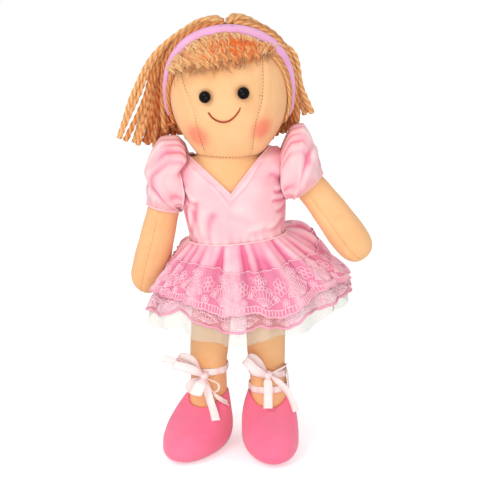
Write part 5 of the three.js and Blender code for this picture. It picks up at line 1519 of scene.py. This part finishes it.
# The inner back row is tinted darker than the outer one, as painted shade under it.
tint = np.concatenate([rng.uniform(0.1, 0.5, back_counts[0]), rng.uniform(0.4, 0.8, back_counts[1])])
lines = from_neck(smooth_curve(lines, strand_steps))
crown_lines.append(lines)
crown_tints.append(tint)
hanging_yarn("hair_back_yarn", lines, back_split, tint, "hair_back")
lines, tint = np.concatenate(crown_lines), np.concatenate(crown_tints)
split = np.where(np.arange(len(lines)) < len(lines) - sum(back_counts), hair_split, back_split)
above = lines[..., 2] > split[:, None] - 0.5 * mm
yarn_mesh("hair_crown_yarn", lines, yarn_radius * mm, tint, golden_yarn, "hair_crown", keep=above)

# Scalp: a close pad of the same yarn, sewn to the head under the strands from the headband down to
# the nape, so that no skin shows between them. Its dark tint and darker grooves are painted shade.
band_plane = np.array([0, -9.0, 83.0])
band_front = -8.0
band_back = 0.0
band_tilt = np.radians(19)
pad_gap = 3.2
band_out = np.array([0, np.cos(band_tilt), np.sin(band_tilt)])
side_way = np.array([1.0, 0, 0])
up_slope = np.cross(side_way, band_out)


def round_band(turn):
    """Directions from the head's middle round the headband: across by the cosine of the turn and up
    the band's slope by its sine."""
    return np.cos(turn)[..., None] * side_way + np.sin(turn)[..., None] * up_slope


def in_head(points, grow):
    """Inside the head grown by that much."""
    above = head_top - head_widest
    rise = head_widest + (points[..., 2] - head_widest) * above / (above + grow)
    width, depth = head_half(head_width / 2, rise) + grow, head_half(head_depth / 2, rise) + grow
    return ((points[..., 0] / width) ** 2 + (points[..., 1] / depth) ** 2 < 1) & (rise < head_top)


turn = np.linspace(0, 2 * np.pi, 120, endpoint=False)[None]
bend = np.radians(np.linspace(0, 112, 60))[:, None]
way = np.sin(bend)[..., None] * round_band(turn) + np.cos(bend)[..., None] * band_out
span = reach(head_middle, way, lambda p: in_head(p, pad_gap))
ripple = 0.7 * np.sin(34 * turn + 5 * np.sin(3 * bend))
form = head_middle + (span + ripple * np.sin(bend))[..., None] * way
form[..., 2] = np.maximum(form[..., 2], 15)
behind_band = (form - band_plane) @ band_out
pushed = (np.clip(behind_band, 0, None) - behind_band)[..., None] * band_out
form = form + pushed * np.where(bend > 1.2, 1, 0)[..., None]
# The pad's dark tint and grooved stripes are painted shade under the strands.
pad_tint = {"tint": np.full(form.shape[:2], 0.62), "ply": 1.2 * np.sin(34 * turn + 5 * np.sin(3 * bend))}
scalp = surface("hair_pad", from_neck(form), flat_grid(60, 121, 40, 90), marks=pad_tint, closed=True)
finish(scalp, "head", "hair_yarn", golden_yarn)

# Fringe: the same yarn, unravelled and crimped, in three short rows over a thin pad, tan at the
# headband and orange in the middle, with loose fibres at the hem. A few long strands run down the
# sides of the face, and more are laid behind the band.
fringe_hem = np.array([(-41, 68.5), (-34.9, 71.5), (-22.7, 75.5), (-6.9, 77.7), (5.3, 79.6), (19.3, 83.0),
                       (29.8, 86.0), (38, 86.5)])
fringe_ends = (-38.5, 35.5)
tuft_radius = 1.55
fuzz_radius = 0.2
wisp_radius = 1.15
fringe_yarn = yarn("unravelled_tan_yarn", "#E9C393", "#DEA468", "#DC6420")


def front_place(x, rise, lift):
    """A place on the front of the head at a shift and a rise, lifted along the surface's facing."""
    wide = head_half(head_width / 2, rise)
    x = np.clip(x, -0.985 * wide, 0.985 * wide)
    spot = np.stack(np.broadcast_arrays(x, face_forward(x, rise), rise), axis=-1)
    slope = np.clip(rise - head_widest, 0, None) / (head_top - head_widest)
    out = np.stack([spot[..., 0] / (head_width / 2), spot[..., 1] / (head_depth / 2), 0.9 * slope ** 1.6],
                   axis=-1)
    return spot + np.asarray(lift)[..., None] * unit(out)


def crown_band_rise(x):
    """The height of the band's front edge over the head at a shift, where its plane cuts the head."""
    rise = np.linspace(50, 102, 400)[None]
    forward = face_forward(x[:, None], rise)
    behind = (forward - band_plane[1]) * band_out[1] + (rise - band_plane[2]) * band_out[2]
    off_head = np.abs(x[:, None]) >= 0.999 * head_half(head_width / 2, rise)
    return rise[0, np.argmax((behind > band_front) | off_head, axis=1)]


def fringe_row(count, top_share, low_share, lift):
    """Crimped tufts between two shares of the way from the hem to the band: each leans its own way
    and waves across and outwards, and thins out towards its tip."""
    x = np.linspace(*fringe_ends, count) + rng.normal(0, 0.7, count)
    hem = np.interp(x, fringe_hem[:, 0], fringe_hem[:, 1])
    band = np.maximum(crown_band_rise(x), hem + 4)
    top = hem + (band - hem) * top_share
    low = hem + (band - hem) * low_share + rng.normal(0, 1.2, count)
    share = np.linspace(0, 1, 36)[None]
    rise = top[:, None] + (low - top)[:, None] * share
    phase = rng.uniform(0, 2 * np.pi, (count, 1))
    crimps = (top - low)[:, None] * share / 0.85 + phase
    lean = rng.normal(0, 2.2, (count, 1)) * share + 1.4 * np.sin(x[:, None] / 5) * share
    lift = lift + 2.1 * np.sin(np.pi * share ** 0.7) + 0.5 * np.sin(crimps + 1.5)
    lift = lift - 1.2 * share ** 3 + 1.1 * (1 - share)
    return front_place(x[:, None] + 0.75 * np.sin(crimps) + lean, rise, lift)


fringe_counts = (30, 30, 28)
fringe_tints = (0.2, 0.42, 0.25)
fringe_spans = ((1.04, 0.42, 1.2), (0.9, 0.18, 1.5), (0.62, -0.02, 0.9))
rows = [fringe_row(count, *span) for count, span in zip(fringe_counts, fringe_spans)]
lines = from_neck(np.concatenate(rows))
low_row = np.repeat(fringe_tints, fringe_counts)
away = np.abs(lines[:, -1, 0] - from_neck(np.array([5.0, 0, 0]))[0]) / mm
tint = low_row + rng.uniform(-0.15, 0.25, len(lines)) + 0.5 * bump(away, 16) * (low_row > 0.22) - 0.06
tint = np.clip(tint - 0.01 * np.clip(away - 20, 0, None), 0, 1)
yarn_mesh("fringe_tufts", lines, tuft_radius * mm, tint, fringe_yarn, "fringe")
x = np.linspace(*fringe_ends, 80)
hem = np.interp(x, fringe_hem[:, 0], fringe_hem[:, 1]) + 2.5
rise = hem + (np.maximum(crown_band_rise(x), hem + 1) - hem) * np.linspace(0, 1, 24)[:, None]
pad = front_place(x[None], rise, 2.0 + 0.4 * np.sin(1.6 * x[None]))
pad_tint = {"tint": np.full(rise.shape, 0.38), "ply": np.zeros(rise.shape)}
made = surface("fringe_pad", from_neck(pad), flat_grid(24, 80, 60, 30), loop=False, marks=pad_tint)
finish(sewn(made, -1.0), "head", "hair_yarn", fringe_yarn)
fuzz_count = 260
x = rng.uniform(*fringe_ends, fuzz_count)
low = np.interp(x, fringe_hem[:, 0], fringe_hem[:, 1]) + rng.normal(1.0, 2.5, fuzz_count)
share = np.linspace(0, 1, 12)[None]
bend = rng.normal(0, 2.2, (fuzz_count, 1)) * share ** 2
bend = bend + 0.5 * np.sin(5 * share + rng.uniform(0, 6, (fuzz_count, 1)))
lift = 2.4 + rng.uniform(-0.8, 1.2, (fuzz_count, 1)) * share
fuzz = front_place(x[:, None] + bend, low[:, None] + 7 - 9.5 * share, lift)
fuzz_facing = np.broadcast_to([0.0, -1.0, 0.0], fuzz.shape)
tint = rng.uniform(0.1, 0.6, fuzz_count)
made = tubes("fringe_fuzz", from_neck(fuzz), fuzz_radius * mm, fuzz_facing, 4, tint=tint)
finish(made, "head", "hair_yarn", fringe_yarn)
band_middle = head_middle - ((head_middle - band_plane) @ band_out) * band_out
wisps = []
for first, last in ((-26, 62), (206, 120)):
    for ahead in (0.2, 1.9, 3.5, 5.0):
        turn = np.radians(np.linspace(first + rng.normal(0, 2), last, 60))
        way = round_band(turn)
        middle = band_middle + (band_front - ahead) * band_out
        span = reach(middle, way, lambda p: in_head(p, 1.4 + 0.3 * rng.random()))
        drift = 0.5 * np.sin(5 * turn + ahead)[:, None] * band_out
        wisps.append(middle + span[:, None] * way + drift)
wisps = from_neck(np.array(wisps))
tint = rng.uniform(0.15, 0.6, len(wisps))
yarn_mesh("face_side_wisps", wisps, wisp_radius * mm, tint, golden_yarn)

behind = []
for first, last in ((86, -24), (94, 204)):
    for back in (2.6, 6.6, 10.6, 14.6):
        turn = np.radians(np.linspace(first, last + rng.normal(0, 3), 80))
        way = round_band(turn)
        middle = band_middle + (band_back + back) * band_out
        span = reach(middle, way, lambda p: in_head(p, 4.4))
        drift = (0.6 * np.sin(4 * turn + back) - 2.5 * step(-np.sin(turn) + 0.2))[:, None] * band_out
        behind.append(middle + span[:, None] * way + drift)
behind = from_neck(np.array(behind))
tint = rng.uniform(0.15, 0.6, len(behind))
yarn_mesh("strands_behind_band", behind, yarn_radius * mm, tint, golden_yarn)

# Headband: lilac satin ribbon over the fringe's seam, its back edge standing on the hair, tacked
# with a few dark stitches.
band_ends = np.radians((-22, 202))
turn = np.linspace(*band_ends, 200)
way = round_band(turn)
edge = np.linspace(0, 1, 9)
middle = band_middle + (band_back + (band_front - band_back) * edge)[:, None] * band_out
span = reach(middle[None], way[:, None], lambda p: in_head(p, 3.4))
lift = 1.2 * (1 - edge) * step(np.sin(turn)[:, None]) + 0.5 * np.sin(np.pi * edge) - 1.3 * edge ** 3
lift = lift + 0.25 * np.sin(23 * turn)[:, None] * edge
strip = middle[None] + (span + lift)[..., None] * way[:, None]
lilac = satin("lilac_satin_ribbon", "#F0B9D8", "#E4A0CB", "#C87FB2")
# Painted shade along both edges of the ribbon and painted light along its middle.
marks = {"fold": np.broadcast_to(0.35 + 0.35 * np.sin(np.pi * edge), (200, 9))}
made = surface("headband_ribbon", from_neck(strip), flat_grid(200, 9, band_back - band_front, 220),
               loop=False, marks=marks)
finish(sewn(made, 0.6), "head", "lilac_ribbon", lilac, "headband")
dark_thread = thread_cloth("plum_polyester_thread", "#7D4A66", "#5E3550")
for number, spot in enumerate((58, 96, 104, 141)):
    line = from_neck(smooth_curve(strip[None, spot:spot + 3, 3] + 0.45 * way[spot], 12))
    facing = np.broadcast_to(way[spot], line.shape)
    tack = tubes("band_tack_%d" % number, line, 0.3 * mm, facing, 6)
    finish(tack, "head", "lilac_ribbon", dark_thread)

# Ankle ribbons: pale pink satin ribbon, about six millimetres wide, wound round each ankle and tied
# in a bow of loose loops and long tails, flat strips that narrow at the knot. The right one goes
# round the ankle twice.
ribbon_width = 6.0
ribbon_thickness = 0.45
wrap_radius = 15.6
ribbon_satin = satin("ivory_pink_satin_ribbon", "#FCEDE9", "#F8D6D6", "#E7AAB4")
knot_half = np.array([3.6, 2.8, 3.4])
# Each strip: the way its width points, its width, and the places along its middle.
bows = {
    "left": {
        "knot": (-31.4, -20.0, 63.2),
        "wraps": [("ankle_wrap_left", "ankle_ribbon_left", 64, 1.2)],
        "strips": [
            ((0.5, -0.25, 0.83), 8, [
                (-31.4, -21, 63.6), (-38.1, -27, 70.0), (-47.3, -29, 74.1), (-54.4, -26, 75.4),
                (-50.0, -21, 79.3), (-40.8, -18.5, 75.1), (-33.1, -18, 64.1)]),
            ((0.35, -0.2, 0.9), 6, [
                (-32.3, -19, 63.6), (-42.4, -19, 70.3), (-51.5, -22, 75.6), (-63.0, -24, 79.6)]),
            ((0.9, -0.25, -0.3), 9, [
                (-31.4, -21, 62.8), (-34.4, -27, 58.5), (-38.3, -28, 51.0), (-42.3, -24, 53.8),
                (-37.8, -19.5, 58.8), (-32.3, -18.5, 61.8)]),
            ((0.2, -0.95, 0.2), 5, [
                (-30.6, -21, 61.9), (-25.9, -24, 61.4), (-20.4, -25, 58.5), (-20.5, -24, 53.1),
                (-24.4, -22.5, 50.8), (-27.6, -20.5, 54.2), (-30.7, -19, 60.3)]),
            ((0.95, -0.2, 0.25), 6.5, [
                (-31.5, -20, 62.2), (-29.2, -20.5, 51.3), (-26.0, -25, 42.6), (-23.5, -32, 37.6),
                (-21.9, -38, 33.5)]),
            ((0.3, -0.3, -0.9), 5, [(-24.6, -19, 47.8), (-18.3, -18, 42.9), (-12.8, -13, 37.8)]),
        ],
    },
    "right": {
        "knot": (18.6, -20.0, 64.3),
        "wraps": [("ankle_wrap_right", "ankle_ribbon_right", 62, -1.0),
                  ("ankle_band_right", "ankle_strap_right", 49, 0.6)],
        "strips": [
            ((0.55, -0.25, 0.8), 8, [
                (18.6, -21, 64.4), (10.7, -27, 69.2), (4.5, -28.5, 75.5), (0.6, -25, 79.2),
                (6.1, -20, 78.1), (14.0, -18, 69.9), (17.9, -18, 64.9)]),
            ((0.2, -0.75, 0.6), 4.5, [
                (18.7, -20, 64.7), (24.9, -18.3, 66.7), (31.4, -12, 67.7), (33.6, -4, 68)]),
            ((1.0, 0.0, 0.0), 7, [
                (18.3, -20, 63.0), (18.8, -19.5, 52.6), (18.8, -19.8, 44.4), (18.7, -25, 38.0)]),
            ((0.8, -0.2, 0.45), 5, [
                (20.2, -20.5, 64.0), (27.3, -19.8, 58.0), (33.7, -17, 49.4), (37.7, -17, 41.4),
                (40.6, -24, 35.1)]),
            ((0.1, 1.0, 0.0), 5, [(33.2, -8, 66.1), (34.9, -5, 56.5), (35.4, -5, 47.9)]),
        ],
    },
}
for side, bow in bows.items():
    leg, body = leg_places[side], "leg_" + side
    for name, cad_name, height, slant in bow["wraps"]:
        turn = np.linspace(0, 2 * np.pi, 97)[None, :-1]
        across = np.linspace(-0.5, 0.5, 7)[:, None]
        radius = wrap_radius + 0.25 * np.sin(9 * turn + height) - 0.5 * (2 * across) ** 4
        level = height + ribbon_width * across + slant * np.cos(turn) + 0.4 * np.sin(3 * turn)
        form = np.stack([leg_middle(leg, height) + radius * np.cos(turn), radius * np.sin(turn), level],
                        axis=2)
        # Painted shade and light in the wrap's ripples, in step with its radius.
        marks = {"fold": np.broadcast_to(0.7 + 0.2 * np.sin(9 * turn + height), radius.shape)}
        made = surface(name, mm * form, flat_grid(7, 97, 98, ribbon_width), marks=marks)
        finish(sewn(made, ribbon_thickness), body, "pale_ribbon", ribbon_satin, cad_name)
    knot = np.array(bow["knot"])
    bend, turn = np.meshgrid(np.linspace(-np.pi / 2, np.pi / 2, 20), np.linspace(0, 2 * np.pi, 36)[:-1],
                             indexing="ij")
    ripple = 1 + 0.07 * np.sin(5 * turn + 4 * bend)
    ball = np.stack([np.cos(bend) * np.cos(turn), np.cos(bend) * np.sin(turn), np.sin(bend)], axis=2)
    ball = knot + knot_half * ball * ripple[..., None]
    # Painted shade in the knot's creases.
    marks = {"fold": 0.3 + 0.5 * np.abs(np.sin(2.5 * turn + 2 * bend))}
    made = surface("bow_knot_" + side, mm * ball, flat_grid(20, 36, 22, 10), closed=True, marks=marks)
    finish(made, body, "pale_ribbon", ribbon_satin, "bow_" + side)
    for number, (across, width, route) in enumerate(bow["strips"]):
        line = smooth_curve(np.array(route)[None], 60)
        across = unit(np.array(across))
        share = np.linspace(0, 1, 60)
        is_loop = np.linalg.norm(line[0, 0] - line[0, -1]) < 6
        from_knot = np.minimum(share, 1 - share) if is_loop else share
        half = width / 2 * (0.35 + 0.65 * step(from_knot / 0.22))
        edge = np.linspace(-1, 1, 9)
        ripple = 0.35 * np.sin(7 * share + number)[:, None] * edge + 0.3 * np.cos(np.pi * edge)
        out = unit(np.cross(np.gradient(line[0], axis=0), across))
        form = line[0][:, None] + (half[:, None] * edge)[..., None] * across
        form = form + ripple[..., None] * out[:, None]
        # Painted shade near the knot and in the strip's ripples, paler out along the strip.
        fold = np.broadcast_to((0.45 + 0.4 * step(from_knot / 0.25))[:, None], ripple.shape) + 0.2 * ripple
        made = surface("bow_strip_%s_%d" % (side, number), mm * form, flat_grid(60, 9, width, 40),
                       loop=False, marks={"fold": np.clip(fold, 0, 1)})
        finish(sewn(made, ribbon_thickness), body, "pale_ribbon", ribbon_satin)
